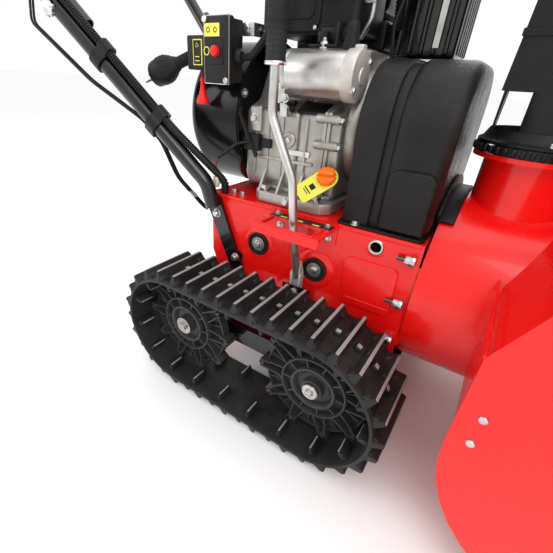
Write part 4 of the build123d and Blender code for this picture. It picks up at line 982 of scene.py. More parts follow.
# ---------------------------------------------------------------- height lever
class SNOWBLOWER_OT_lever(bpy.types.Operator):
    """Height lever: cranked bright rod, forked foot and textured grip"""

    bl_idname = "snowblower.lever"
    bl_label = "Height lever"

    def execute(self, context):
        dot = context.scene.snowblower_sizes.grip_dot / MM
        bm = start_piece()
        bent_bar(bm, [(86, -163, 312), (84, -195, 425), (72, -191, 498), (LEVER_X, LEVER_Y, 590),
                      (LEVER_X, LEVER_Y, 700)],
                 7.5, 22, 8)
        tint(bm, 0)
        fork = [(79, 338), (93, 338), (98, 316), (98, 276), (92, 252), (84, 247), (77, 256), (74, 284),
                (74, 314)]
        slab(bm, *upright(fork, -160.9, -155.9), 1.2)
        for low, high in ((74.4, 79.4), (92.6, 97.6)):
            block(bm, (low, high), (-169.5, -158.5), (293.5, 322), 1.4)
        slab(bm, *upright([(79, 346), (93, 346), (96, 320), (76, 320)], -170.5, -158.5), 2.2)
        hex_bolt(bm, (86, -167.3, 280), (0, -1, 0), 13, 3.8)
        round_bar(bm, (86, -167.6, 280), (86, -154, 280), 3.2, sides=20)
        tint(bm, 1)
        finish_piece(bm, "height_lever_rod", "height_lever", ("lever_steel", "light_casting"),
                     ("height_lever",))
        bm = start_piece()
        turned(bm, [(0, 800), (7, 800), (12, 797.5), (14.6, 791), (14.9, 782), (13.6, 776), (13.8, 760),
                    (14.9, 742),
                    (14.2, 722), (14.8, 712), (15.0, 707), (14.3, 706), (14.3, 704), (14.6, 703),
                    (14.6, 668),
                    (15.0, 667), (15.0, 661), (0, 661)], (LEVER_X, LEVER_Y, 0), (0, 0, 1), 56, closed=False)
        for row in range(5):
            for step in range(20):
                angle = math.tau * (step + row % 2 / 2) / 20
                out = Vector((math.cos(angle), math.sin(angle), 0))
                foot = Vector((LEVER_X, LEVER_Y, 672 + row * 7)) + out * 14.2
                round_bar(bm, foot, foot + out * 1.2, 3.0, 0.6, 4)
        for column in range(12):
            angle = math.tau * column / 12
            out = Vector((math.cos(angle), math.sin(angle), 0))
            for step in range(9):
                foot = Vector((LEVER_X, LEVER_Y, 718 + step * 6.4)) + out * 13.4
                round_bar(bm, foot, foot + out * 1.9, dot, dot * 0.6, 6)
        tint(bm, 0)
        turned(bm, [(7.6, 656), (16.4, 656), (17, 657), (17, 660), (16.2, 661), (7.6, 661)],
               (LEVER_X, LEVER_Y, 0), (0, 0, 1), 48)
        tint(bm, 1)
        finish_piece(bm, "lever_grip_moulding", "height_lever", ("grip_rubber", "chrome_plate"),
                     ("lever_grip",))
        return {"FINISHED"}


class SNOWBLOWER_OT_guide(bpy.types.Operator):
    """Black scale strip, marks and screws on the lever guide"""

    bl_idname = "snowblower.guide"
    bl_label = "Lever guide trim"

    def execute(self, context):
        bm = start_piece()
        block(bm, (24, 144), (-177, -155), (425.0, 425.8), 0.3, 1)
        tint(bm, 0)
        for x in (52, 84, 116):
            block(bm, (x - 7, x + 2), (-175, -171), (425.7, 426.3), 0.2, 1)
            slab(bm, [(x + 2, -176.5, 425.8), (x + 8, -173, 425.8), (x + 2, -169.5, 425.8)], (0, 0, 0.5))
        tint(bm, 1)
        bent_bar(bm, [(33.5, -180, 425.6), (33.5, -225, 425.6), (134.5, -225, 425.6),
                      (134.5, -180, 425.6)], 1.9, 6, 3)
        tint(bm, 3)
        for x in (34, 134):
            hex_bolt(bm, (x, -163, 425.6), (0, 0, 1), 8, 4.0, 6.5)
            hex_bolt(bm, (x, -153.2, 402), (0, -1, 0), 8, 4.0, 6.5)
        tint(bm, 2)
        finish_piece(bm, "guide_scale", "chassis",
                     ("black_plastic", "yellow_sticker", "zinc_plate", "red_paint"))
        return {"FINISHED"}


# ---------------------------------------------------------------- engine
class SNOWBLOWER_OT_crankcase(bpy.types.Operator):
    """Cast crankcase: case, seam flange, bosses, foot, plug, plate, oil filler tube and two black sheets of
    painted shade under the starter
    """

    bl_idname = "snowblower.crankcase"
    bl_label = "Crankcase"

    def execute(self, context):
        bm = start_piece()
        side_view = [(-112, 474), (-104, 454), (112, 454), (112, 688), (-40, 688), (-52, 650), (-74, 606),
                     (-112, 590)]
        slab(bm, [(-82, y, z) for y, z in side_view], (112, 0, 0), 7, 3)
        flange = [(-117, 472), (-108, 450), (116, 450), (116, 692), (-36, 692), (-48, 652), (-72, 612),
                  (-117, 596)]
        slab(bm, [(80, y, z) for y, z in flange], (6, 0, 0), 1.5)
        slab(bm, [(87, y, z) for y, z in flange], (6, 0, 0), 1.5)
        slab(bm, [(29, y * 0.99, z) for y, z in side_view], (83, 0, 0), 9, 3)
        round_bar(bm, (111, 0, CRANK_Z), (130, 0, CRANK_Z), 98, 92, 64, 3)
        foot = [(-46, -122), (-30, -138), (102, -138), (118, -122), (118, 122), (102, 138), (-30, 138),
                (-46, 122)]
        slab(bm, [(x, y, DECK_Z + 0.2) for x, y in foot], (0, 0, 21), 3.5, 3)
        slab(bm, [(x * 0.86 + 5, y * 0.84, 450) for x, y in foot], (0, 0, 10), 4.5, 3)
        for x in (-34, 6, 46):
            slab(bm, [(x, -137, 449), (x, -108, 449), (x, -108, 500)], (5, 0, 0), 1.2)
        for z in (486, 545, 586):
            round_bar(bm, (66, -113, z), (107, -113, z), 7.6, sides=28, edge=1.2)
        for z in (640, 676):
            round_bar(bm, (66, -62, z), (107, -62, z), 7.0, sides=28, edge=1.2)
        for x in (-58, -30, 0, 48):
            block(bm, (x - 2.2, x + 2.2), (-114.5, -106), (478, 584), 1.6)
        block(bm, (-72, 66), (-115, -107), (506, 512), 2.0)
        block(bm, (-70, -44), (-119, -100), (552, 596), 4, 3)
        turned(bm, [(0, -6), (13.5, -6), (13.5, 3.4), (12, 4.6), (8.6, 4.6), (8.0, 2.2), (0, 2.2)],
               (14, -112, 545), (0, -1, 0), 40, closed=False)
        block(bm, (-70, 96), (62, 206), (562, 688), 5, 3)
        for index in range(11):
            z = 570 + index * 11
            block(bm, (-74, 100), (110, 209), (z, z + 3.2), 1.2, 1)
        round_bar(bm, (93.5, -84, 459), (103.6, -126.5, 494.8), 8.6, sides=28)
        round_bar(bm, (91, -74, 450), (96, -95, 468), 13, 11, 28, 1.5)
        tint(bm, 0)
        for z in (486, 545, 586):
            hex_bolt(bm, (107, -113, z), (1, 0, 0), 11, 6.5, 7.2)
        hex_bolt(bm, (14, -114.2, 545), (0, -1, 0), 8, 2.6)
        for x in (-20, 90):
            for y in (-128, 128):
                round_bar(bm, (x, y, 450.8), (x, y, 452.2), 10.5, sides=28, edge=0.3)
        hex_bolt(bm, (-57, -119, 575), (0, -1, 0), 12, 7, 8.4)
        hex_bolt(bm, (33, -137.5, 441), (0, -1, 0), 13, 5.5, 8)
        tint(bm, 1)
        block(bm, (16, 58), (-113.6, -111.6), (520.4, 529.6), 0.5, 1)
        tint(bm, 2)
        # Two thin black sheets on the case's shoulder under the starter, either side of its bracket:
        # painted shade standing in for the dark hollow there.
        slab(bm, [(24, -110, 591), (76, -110, 591), (76, -80, 605), (24, -80, 605)], (0, -1.6, 2.8), 0.8)
        slab(bm, [(-40, -110, 591), (8, -110, 591), (8, -80, 605), (-40, -80, 605)], (0, -1.6, 2.8), 0.8)
        tint(bm, 3)
        finish_piece(bm, "engine_casting", "chassis",
                     ("cast_alloy", "zinc_plate", "pale_plate", "black_plastic"),
                     ("engine_block",))
        return {"FINISHED"}


class SNOWBLOWER_OT_cowl(bpy.types.Operator):
    """Bolts, band and louvres of the fan cowl, the ignition box and its wires"""

    bl_idname = "snowblower.cowl"
    bl_label = "Fan cowl trim"

    def execute(self, context):
        bm = start_piece()
        turned(bm, [(131, -100), (136.5, -99), (136.5, -89), (131, -88)], (0, 0, CRANK_Z), (1, 0, 0), 72)
        turned(bm, [(40, -217.6), (52, -218.6), (64, -217.6), (64, -215.8), (40, -215.8)], (0, 0, CRANK_Z),
               (1, 0, 0), 56)
        for index in range(16):
            crank = Matrix.Translation(Vector((0, 0, CRANK_Z)) * MM)
            turn = crank @ Matrix.Rotation(math.tau * index / 16, 4, "X")
            block(bm, (-218.4, -215.6), (-2.6, 2.6), (70, 104), 1.2, 1, at=turn)
        tint(bm, 0)
        block(bm, (-80, -44), (-124, -106), (519, 549), 3, 2)
        block(bm, (-48, -22), (-118, -108), (526, 542), 2, 2)
        slab(bm, [(-93, -132, 588), (-86, -132, 590), (-46, -124, 512), (-52, -124, 506)], (0, 4, 0), 1.2)
        slab(bm, [(-86, -134, 582), (-82, -134, 582), (-54, -127, 522), (-58, -127, 520)], (0, 3, 0), 0.8)
        bent_bar(bm, [(-66, -124, 534), (-84, -138, 530), (-124, -146, 500)], 3.2, 16, 3)
        tint(bm, 1)
        for shift in (-1.2, 1.2):
            bent_bar(bm, [(-123, -146 + shift, 501), (-131, -147 + shift, 484),
                          (-127, -147 + shift * 2, 462)], 1.1, 12, 2)
        tint(bm, 2)
        block(bm, (-134, -121), (-153, -142), (446, 463), 1.8, 2)
        block(bm, (-132, -129.6), (-155, -144), (441, 448), 0.7, 1)
        block(bm, (-126, -123.6), (-155, -144), (441, 448), 0.7, 1)
        tint(bm, 3)
        for angle in (-132, -68, -20, 28, 68):
            y = 125 * math.sin(math.radians(angle))
            z = CRANK_Z + 125 * math.cos(math.radians(angle))
            hex_bolt(bm, (-86.5, y, z), (1, 0, 0), 9, 5, 8)
        tint(bm, 4)
        finish_piece(bm, "cowl_trim", "chassis",
                     ("gloss_plastic", "black_plastic", "brown_wire", "cream_plastic", "zinc_plate"))
        return {"FINISHED"}


class SNOWBLOWER_OT_starter(bpy.types.Operator):
    """Electric starter: drawn body, cast end cap, screws, terminal and brackets"""

    bl_idname = "snowblower.starter"
    bl_label = "Starter motor"

    def execute(self, context):
        bm = start_piece()
        centre = (0, -110, 648)
        turned(bm, [(0, 4), (33, 4), (35, 5.5), (35.0, 10), (34.4, 11), (35.0, 12), (35.0, 106),
                    (34.2, 108), (34.2, 112), (0, 112)], centre, (1, 0, 0), 72, closed=False)
        tint(bm, 0)
        turned(bm, [(0, 108.5), (36.3, 108.5), (36.5, 110), (36.5, 124.5), (35, 127.5), (31, 128.8),
                    (12, 128.8), (11, 130.4), (0, 130.4)], centre, (1, 0, 0), 72, closed=False)
        turned(bm, [(0, -16), (20, -16), (24, -12), (24, 4), (28, 6), (0, 6)], centre, (1, 0, 0), 48,
               closed=False)
        block(bm, (109, 127.6), (-118, -103), (681, 688), 2.4, 2)
        for y, z in ((-110 + 24, 648 + 19), (-110 - 24, 648 - 19)):
            round_bar(bm, (122, y, z), (129.4, y, z), 6.2, sides=24, edge=0.8)
        tint(bm, 1)
        for y, z in ((-110 + 24, 648 + 19), (-110 - 24, 648 - 19)):
            round_bar(bm, (129, y, z), (131.4, y, z), 4.2, 3.4, 20)
        hex_bolt(bm, (60, -108, 682.6), (0, 0, 1), 12, 8.5, 8)
        round_bar(bm, (60, -108, 690), (60, -108, 697), 3.2, sides=16)
        slab(bm, [(-6, -137, 634), (12, -137, 634), (12, -137, 606), (22, -137, 600), (22, -137, 584),
                  (6, -137, 584), (4, -137, 604), (-6, -137, 612)], (0, 3.2, 0), 1.0)
        block(bm, (-6, 12), (-137, -100), (604, 607.4), 1.0)
        block(bm, (18, 22), (-137, -112), (584, 600), 1.0)
        hex_bolt(bm, (15, -137, 612), (0, -1, 0), 9, 5, 6.6)
        tint(bm, 2)
        turned(bm, [(0, 676), (14.5, 676), (13.5, 683), (9.2, 702), (8.4, 712), (6.8, 716), (0, 716)],
               (104, -110, 0), (0, 0, 1), 32, closed=False)
        block(bm, (34, 82), (-114, -84), (684.6, 688.4), 1.4, 2)
        block(bm, (78, 82), (-112, -86), (686, 716), 1.4, 2)
        tint(bm, 3)
        finish_piece(bm, "starter_assembly", "chassis",
                     ("drawn_steel", "light_casting", "zinc_plate", "dull_rubber"),
                     ("starter_motor",))
        return {"FINISHED"}


class SNOWBLOWER_OT_switch_box(bpy.types.Operator):
    """Starter switch box: lid, wing, plain stickers, screws, strap, button and pull key"""

    bl_idname = "snowblower.switch_box"
    bl_label = "Switch box"

    def execute(self, context):
        bm = start_piece()
        block(bm, (-138, -83), (-166.5, -150), (626, 723), 4, 3)
        block(bm, (-136, -85), (-151, -124), (629, 720), 3, 2)
        block(bm, (-180, -130), (-164.0, -134), (646, 697), 3.5, 3)
        block(bm, (-135, -94.6), (-168, -166.2), (655, 692), 0.8, 1)
        turned(bm, [(5.7, -2), (12, -2), (12, 3), (10, 7), (8, 9), (5.7, 9)], (-83, -140, 668), (1, 0, 0),
               32)
        tint(bm, 0)
        rim = [(-137.4, -167.2, 626.6), (-83.6, -167.2, 626.6), (-83.6, -167.2, 722.4),
               (-137.4, -167.2, 722.4), (-137.4, -167.2, 626.6)]
        for start, end in zip(rim, rim[1:]):
            round_bar(bm, Vector(start) + Vector((0, 2.6, 0)), Vector(end) + Vector((0, 2.6, 0)), 0.7,
                      sides=8)
        for x, z in ((-133.5, 717.5), (-88.5, 632)):
            turned(bm, [(0, 0), (5.0, 0), (5.0, 2.2), (3.8, 3.2), (0, 3.2)], (x, -166.4, z), (0, -1, 0),
                   24, closed=False)
        block(bm, (-86, -62), (-126, -122.5), (698, 717), 2.0, 2)
        block(bm, (-66, -62), (-126, -96), (698, 717), 1.6, 2)
        hex_bolt(bm, (-74, -126, 708), (0, -1, 0), 10, 4.5, 7)
        tint(bm, 1)
        block(bm, (-134.5, -102), (-167.2, -166.0), (694, 712), 0.25, 1)
        block(bm, (-164, -143), (-165.0, -163.6), (653, 691), 0.25, 1)
        turned(bm, [(5.0, -0.1), (6.4, -0.1), (6.4, 0.5), (5.0, 0.5)], (-129, -168, 674), (0, -1, 0), 32)
        tint(bm, 2)
        for x in (-126, -111):
            turned(bm, [(2.6, 0), (3.8, 0), (3.8, 0.4), (2.6, 0.4)], (x, -167.2, 703), (0, -1, 0), 20)
        block(bm, (-162.4, -144.6), (-165.4, -164.6), (654.6, 689.4), 0.2, 1)
        tint(bm, 0)
        turned(bm, [(3.4, 0), (4.4, 0), (4.4, 0.4), (3.4, 0.4)], (-153.5, -165.4, 682), (0, -1, 0), 3)
        block(bm, (-158.5, -148.5), (-165.8, -165.2), (665, 666.2))
        block(bm, (-158.5, -148.5), (-165.8, -165.2), (659, 660.2))
        tint(bm, 2)
        finish_piece(bm, "switch_box_assembly", "chassis", ("box_plastic", "zinc_plate", "yellow_sticker"),
                     ("switch_box",))
        bm = start_piece()
        turned(bm, [(0, -10), (8, -10), (8, 4.8), (7.4, 6.4), (5.6, 7.2), (0, 7.4)], (-109, -168, 674),
               (0, -1, 0), 40, closed=False)
        tint(bm, 0)
        finish_piece(bm, "starter_push_button", "starter_button", ("red_plastic",), ("starter_button",))
        bm = start_piece()
        turned(bm, [(0, 0), (3.2, 0), (4.4, -3), (3.4, -7), (4.6, -16), (7.2, -27), (11.6, -36),
                    (12.4, -40), (11.6, -42), (0, -42)], (-157, -150, 634), (0, 0, 1), 36, closed=False)
        tint(bm, 0)
        bent_bar(bm, [(-157, -150, 641.5), (-158, -151, 637), (-157, -150, 632)], 1.2, 3, 2)
        tint(bm, 0)
        finish_piece(bm, "pull_key", "chassis", ("red_plastic",))
        return {"FINISHED"}


class SNOWBLOWER_OT_inlet_plug(bpy.types.Operator):
    """Round mains inlet plug with its ribbed relief, shroud and pins"""

    bl_idname = "snowblower.inlet_plug"
    bl_label = "Mains inlet plug"

    def execute(self, context):
        bm = start_piece()
        start = Vector((-180, -148, 668))
        along = (Vector((-300, -164, 624)) - start).normalized()
        profile = [(0, -4), (9, -4), (9, 2)]
        for index in range(6):
            t = 4 + index * 5.2
            profile.extend([(10.2, t), (10.2, t + 2.6), (8.2, t + 3.2), (8.2, t + 4.8)])
        profile.extend([(10.5, 36), (14, 44), (21, 60), (23.4, 66), (24.4, 69), (24.4, 78), (23.4, 79),
                        (23.4, 80.2), (22.4, 94), (21.0, 96), (18.5, 96), (18, 88), (0, 88)])
        turned(bm, profile, start, along, 48, closed=False)
        across = along.orthogonal().normalized()
        for index in range(14):
            out = (Matrix.Rotation(math.tau * index / 14, 3, along) @ across)
            round_bar(bm, start + along * 50 + out * 16.0, start + along * 66 + out * 23.2, 1.3, sides=6)
        tint(bm, 0)
        for shift in (-9.5, 9.5):
            round_bar(bm, start + along * 86 + across * shift, start + along * 120 + across * shift, 2.4,
                      sides=16, edge=0.6)
        tint(bm, 1)
        finish_piece(bm, "inlet_plug", "chassis", ("dull_rubber", "zinc_plate"), ("mains_plug",))
        return {"FINISHED"}


class SNOWBLOWER_OT_cables(bpy.types.Operator):
    """Starter lead, corrugated control loom and the two thin cables under the handle"""

    bl_idname = "snowblower.cables"
    bl_label = "Cables"

    def execute(self, context):
        bm = start_piece()
        bent_bar(bm, [(-82.8, -140, 668), (-56, -140, 668), (-30, -132, 700), (-20, -116, 790),
                      (60, -112, 806), (104, -112, 776), (104, -110, 704.2)], 5.6, 30, 6)
        tint(bm, 0)
        finish_piece(bm, "starter_lead", "chassis", ("dull_rubber",), ("engine_cables",))
        bm = start_piece()
        axis = (Vector((-500, -241.6, 782.9)) - Vector((-136, -169, 452))).normalized()
        lift = axis.cross(Vector((0, 1, 0))).normalized()
        if lift.z < 0:
            lift = -lift
        foot = Vector((-136, -169, 452))
        loom = [Vector((-112, -140, DECK_Z + 0.2)), Vector((-112, -140, 454)),
                foot + axis * 115 + lift * 23.4,
                foot + axis * 515 + lift * 23.4, Vector((-600, -268, 905)), Vector((-640, -240, 975)),
                Vector((-662, -196, 932))]
        bent_bar(bm, loom, 6.7, 40, 4)
        for place, heading in stations(loom, 40, context.scene.snowblower_sizes.loom_pitch / MM):
            round_bar(bm, place - heading * 1.35, place + heading * 1.35, 8.0, sides=14)
        tint(bm, 0)
        for shift in (-3.2, 3.2):
            side = Vector((0, shift, 0))
            low = lift * -18.6
            thin = [Vector((-138.2, -140, 386)), Vector((-168, -140, 386)), Vector((-218, -168, 448)),
                    foot + axis * 122 + low,
                    foot + axis * 178 + low, Vector((-400, -216, 618)), Vector((-600, -205, 720)),
                    Vector((-670, -150, 830)), Vector((-670, -150, 881))]
            bent_bar(bm, [p + side for p in thin], 2.6, 34, 3)
            tint(bm, 1)
            round_bar(bm, Vector((-141, -140, 386)) + side, Vector((-156, -140, 386)) + side, 3.8, 3.2, 16)
            round_bar(bm, Vector((-186, -150, 408)) + side, Vector((-196, -156, 420)) + side, 3.4, 3.4, 16)
            tint(bm, 2)
        finish_piece(bm, "control_cable_run", "chassis", ("black_plastic", "dull_rubber", "zinc_plate"),
                     ("control_cables",))
        return {"FINISHED"}


class SNOWBLOWER_OT_engine_top(bpy.types.Operator):
    """Cylinder shroud, carburettor heater box, ribbed exhaust guard, hose, bracket and wires"""

    bl_idname = "snowblower.engine_top"
    bl_label = "Engine top"

    def execute(self, context):
        bm = start_piece()
        block(bm, (-76, 104), (40, 214), (690, 736), 7, 3)
        for index in range(9):
            x = -60 + index * 18
            block(bm, (x, x + 9), (211, 215.5), (700, 728), 1.8, 1)
        block(bm, (104, 122), (44, 110), (700, 730), 2)
        block(bm, (-70, 96), (-92, 36), (704, 792), 8, 3)
        slab(bm,
             *upright([(-62, 712), (-54, 706), (30, 706), (40, 716), (40, 780), (30, 788), (-54, 788),
                       (-62, 780)], -96, -90), 2.6, 3)
        slab(bm,
             *upright([(-46, 722), (24, 722), (30, 728), (30, 768), (24, 774), (-46, 774), (-52, 768),
                       (-52, 728)], -98.4, -94), 2.2, 3)
        block(bm, (44, 94), (-96, -70), (694, 712), 3)
        block(bm, (44, 60), (-104, -80), (690, 706), 2)
        tint(bm, 0)
        block(bm, (122, 224), (26, 132), (680, 848), 6, 3)
        for index in range(5):
            x = 128 + index * 19.5
            block(bm, (x, x + 8), (20.5, 30), (684, 844), 3, 3)
        for index in range(5):
            y = 40 + index * 19
            block(bm, (220, 226.5), (y, y + 8), (686, 842), 2.5, 2)
        tint(bm, 1)
        slab(bm, [(189, 19.4, 694), (199, 19.4, 694), (199, 19.4, 838), (189, 19.4, 838)], (0, 1.4, 0),
             0.4, 1)
        bent_bar(bm, [(96, -60, 700), (112, -66, 724), (112, -66, 770), (128, -60, 792)], 4.2, 16, 4)
        slab(bm, [(98, -72, 742), (116, -72, 742), (124, -72, 768), (124, -72, 786), (112, -72, 786),
                  (104, -72, 762), (98, -72, 758)], (0, 4, 0), 1.2)
        hex_bolt(bm, (117, -72, 777), (0, -1, 0), 11, 6, 7.6)
        hex_bolt(bm, (106, -72, 750), (0, -1, 0), 11, 6, 7.6)
        for x, z in ((-56, 711), (34, 711), (-56, 783), (34, 783)):
            hex_bolt(bm, (x, -96.2, z), (0, -1, 0), 6, 2.6)
        tint(bm, 2)
        hose = [Vector((70, -40, 786)), Vector((84, -56, 806)), Vector((118, -44, 806)),
                Vector((132, -10, 780)), Vector((128, 20, 720))]
        bent_bar(bm, hose, 7.0, 26, 4)
        for place, heading in stations(hose, 26, 5.2):
            round_bar(bm, place - heading * 1.3, place + heading * 1.3, 8.4, sides=16)
        bent_bar(bm, [(140, -20, 676), (134, -24, 720), (150, -10, 800), (146, 10, 840)], 3.2, 26, 3)
        tint(bm, 3)
        finish_piece(bm, "engine_top_covers", "chassis",
                     ("black_plastic", "black_enamel", "zinc_plate", "dull_rubber"),
                     ("engine_shroud",))
        return {"FINISHED"}


class SNOWBLOWER_OT_dipstick(bpy.types.Operator):
    """Orange oil cap with its finger bar and the plain yellow tag"""

    bl_idname = "snowblower.dipstick"
    bl_label = "Oil cap and tag"

    def execute(self, context):
        bm = start_piece()
        foot = Vector((104.2, -128.9, 496.8))
        axis = Vector((0.1698, -0.7466, 0.6432)).normalized()
        turned(bm, [(0, 0), (14, 0), (15.6, 1.4), (15.6, 7.4), (14.2, 10.0), (11, 11.4), (0, 11.4)], foot,
               axis, 44, closed=False)
        across = axis.orthogonal().normalized()
        for index in range(16):
            out = Matrix.Rotation(math.tau * index / 16, 3, axis) @ across
            round_bar(bm, foot + axis * 1.4 + out * 15.2, foot + axis * 8.2 + out * 15.2, 1.5, sides=8)
        place = Matrix.Translation((foot + axis * 14.6) * MM)
        place = place @ axis.to_track_quat("Z", "Y").to_matrix().to_4x4()
        block(bm, (-13.5, 13.5), (-4.0, 4.0), (-5, 5.4), 2.6, 3, at=place)
        tint(bm, 0)
        round_bar(bm, (97, -98, 470.5), (105, -132.4, 499.7), 2.5, sides=14)
        tint(bm, 1)
        finish_piece(bm, "oil_cap", "dipstick", ("orange_plastic", "zinc_plate"), ("dipstick",))
        bm = start_piece()
        down = (Vector((-60, -59, -54)) - axis * Vector((-60, -59, -54)).dot(axis)).normalized()
        side = axis.cross(down)
        middle = foot - axis * 0.9
        outline = []
        for step in range(13):
            angle = math.pi / 2 + math.pi * step / 12
            outline.append(middle + down * math.cos(angle) * 19.5 + side * math.sin(angle) * 19.5)
        outline.extend([middle - side * 18 + down * 54, middle - side * 15 + down * 57,
                        middle + side * 15 + down * 57, middle + side * 18 + down * 54])
        slab(bm, outline, axis * 0.9)
        tint(bm, 0)
        for low, high, wide in ((24, 33, 5.5), (37, 39, 9), (41.5, 43, 7)):
            slab(bm, [middle + axis * 0.8 + down * low - side * wide,
                      middle + axis * 0.8 + down * high - side * wide,
                      middle + axis * 0.8 + down * high + side * wide,
                      middle + axis * 0.8 + down * low + side * wide], axis * 0.35)
        tint(bm, 1)
        finish_piece(bm, "oil_tag", "dipstick", ("yellow_sticker", "black_plastic"))
        return {"FINISHED"}


# ---------------------------------------------------------------- belt cover
def cover_section(x, length, inset, edge, bm):
    """Length of the rounded-top belt cover, drawn in by an inset."""
    half = 140 - inset
    top = 675 - inset
    r = 84 - inset
    outline = [(x, -half, 433), (x, half, 433)]
    for step in range(13):
        angle = math.pi / 2 * step / 12
        outline.append((x, half - r + r * math.cos(angle), top - r + r * math.sin(angle)))
    for step in range(13):
        angle = math.pi / 2 + math.pi / 2 * step / 12
        outline.append((x, -half + r + r * math.cos(angle), top - r + r * math.sin(angle)))
    return slab(bm, outline, (length, 0, 0), edge, 4)


class SNOWBLOWER_OT_belt_cover(bpy.types.Operator):
    """Moulded belt cover with its groove, raised side panels and bolted foot"""

    bl_idname = "snowblower.belt_cover"
    bl_label = "Belt cover"

    def execute(self, context):
        groove = context.scene.snowblower_sizes.cover_groove / MM
        bm = start_piece()
        cover_section(146.5, 50.5 - groove / 2, 0, 4, bm)
        cover_section(152, 128, 5.5, 3, bm)
        cover_section(197 + groove / 2, 89 - groove / 2, 0, 16, bm)
        for side in (RIGHT, LEFT):
            panel = [(210, 438), (280, 438), (280, 512)]
            for step in range(9):
                angle = math.pi / 2 * step / 8
                panel.append((262 + 18 * math.cos(angle), 514 + 18 * math.sin(angle)))
            for step in range(9):
                angle = math.pi / 2 + math.pi / 2 * step / 8
                panel.append((228 + 18 * math.cos(angle), 514 + 18 * math.sin(angle)))
            slab(bm, *upright(panel, side * 138, side * 145.4), 3.6, 3)
        foot = [(140, -140), (146, -147), (280, -147), (286, -140), (286, 140), (280, 147), (146, 147),
                (140, 140)]
        slab(bm, [(x, y, DECK_Z + 0.2) for x, y in foot], (0, 0, 4.2), 1.2)
        tint(bm, 0)
        for side in (RIGHT, LEFT):
            hex_bolt(bm, (173, side * 143.5, 434.2), (0, 0, 1), 10, 5, 8)
        tint(bm, 1)
        finish_piece(bm, "belt_cover_moulding", "chassis", ("grained_plastic", "zinc_plate"),
                     ("belt_cover",), 30.0)
        return {"FINISHED"}


# ---------------------------------------------------------------- handle and controls
class SNOWBLOWER_OT_handle(bpy.types.Operator):
    """Joint knobs, foot bolts, tube plugs and the cable adjusters of the handle"""

    bl_idname = "snowblower.handle"
    bl_label = "Handle fittings"

    def execute(self, context):
        bm = start_piece()
        for side in (RIGHT, LEFT):
            for x, z in ((-66, 304), (-116, 391)):
                hex_bolt(bm, (x, side * 160.2, z), (0, side, 0), 13, 7.5, 9.5)
            for x, y, z in ((-452, 230, 735), (-480, 236, 760)):
                hex_bolt(bm, (x, side * y, z), (0, side, 0), 12, 6, 10)
            hex_bolt(bm, (-560, side * 231, 844), (0, side, 0), 12, 6, 9)
            for x in (-594, -560):
                hex_bolt(bm, (x, side * 190, 884), (0, side, 0), 8, 3.5, 6)
        tint(bm, 0)
        for side in (RIGHT, LEFT):
            place = Vector((-452, side * 238, 735))
            turned(bm, [(0, 0), (12, 0), (13.5, 2), (13.5, 11), (11, 14), (0, 14)], place, (0, side, 0),
                   40, closed=False)
            for index in range(6):
                turn = math.tau * index / 6
                out = Vector((math.cos(turn), 0, math.sin(turn)))
                round_bar(bm, place + out * 13 + Vector((0, side * 1.5, 0)),
                          place + out * 13 + Vector((0, side * 12, 0)), 4.2, sides=20, edge=1.0)
        tint(bm, 1)
        finish_piece(bm, "handle_fittings", "chassis", ("zinc_plate", "chrome_plate"))
        return {"FINISHED"}


class SNOWBLOWER_OT_hand_grips(bpy.types.Operator):
    """Ribbed hand grips with a flange and a rounded end"""

    bl_idname = "snowblower.hand_grips"
    bl_label = "Hand grips"

    def execute(self, context):
        bm = start_piece()
        for side in (RIGHT, LEFT):
            profile = [(15.2, 0), (18.5, 0), (19, 1.5), (19, 5), (17.2, 6.5)]
            for index in range(15):
                t = 8 + index * 6.4
                profile.extend([(17.2, t), (18.7, t + 0.9), (18.7, t + 3.9), (17.2, t + 4.8)])
            profile.extend([(17.4, 104), (18.2, 105), (17.0, 107.5), (12, 108), (0, 108)])
            turned(bm, profile, (-727, side * 250, HAND_GRIP_Z), (-1, 0, 0), 48, closed=False)
        tint(bm, 0)
        finish_piece(bm, "ribbed_hand_grips", "chassis", ("grip_rubber",), ("hand_grips",),
                     30.0)
        return {"FINISHED"}


class SNOWBLOWER_OT_control_panel(bpy.types.Operator):
    """Control panel moulding with lever slots, a speed scale, screws and pads"""

    bl_idname = "snowblower.control_panel"
    bl_label = "Control panel trim"

    def execute(self, context):
        bm = start_piece()
        low = Vector((-714, 0, 946))
        high = Vector((-610, 0, 934))
        across = (high - low).normalized()
        lift = Vector((across.z, 0, -across.x))
        if lift.z < 0:
            lift = -lift
        turn = Matrix((across, Vector((0, 1, 0)), lift)).transposed().to_4x4()
        if turn.determinant() < 0:
            turn = Matrix((across, Vector((0, -1, 0)), lift)).transposed().to_4x4()
        place = Matrix.Translation(low * MM) @ turn
        block(bm, (8, 96), (-184, -60), (-0.6, 2.0), 1.4, 2, at=place)
        block(bm, (8, 96), (60, 184), (-0.6, 2.0), 1.4, 2, at=place)
        for y in (-150, -120, 120, 150):
            round_bar(bm, place @ (Vector((30, y, -0.5)) * MM) / MM,
                      place @ (Vector((30, y, 3.4)) * MM) / MM, 9, 8, 28, 0.8)
        tint(bm, 0)
        for y in (-176, -68, 68, 176):
            for x in (15, 89):
                base = place @ (Vector((x, y, 1.6)) * MM) / MM
                round_bar(bm, base, base + lift * 2.2, 4.0, 3.2, 20)
        tint(bm, 1)
        for index in range(6):
            block(bm, (22 + index * 11, 24 + index * 11), (-34, -24), (0.1, 0.6), 0.2, 1, at=place)
        block(bm, (20, 81), (-22.5, -21.5), (0.1, 0.6), 0.2, 1, at=place)
        tint(bm, 2)
        finish_piece(bm, "control_panel_trim", "chassis",
                     ("grained_plastic", "zinc_plate", "yellow_sticker"))
        bm = start_piece()
        turned(bm, [(5.5, -36), (8.5, -34), (10, -24), (9.2, -18), (11, -10), (15.5, -2), (17, 4),
                    (16.4, 11), (12, 15.5),
                    (6, 17), (0, 17.2)], (-662.6, 0, 1010), (-0.063, 0, 0.998), 40, closed=False)
        tint(bm, 0)
        finish_piece(bm, "shift_knob", "shift_lever", ("black_plastic",))
        return {"FINISHED"}


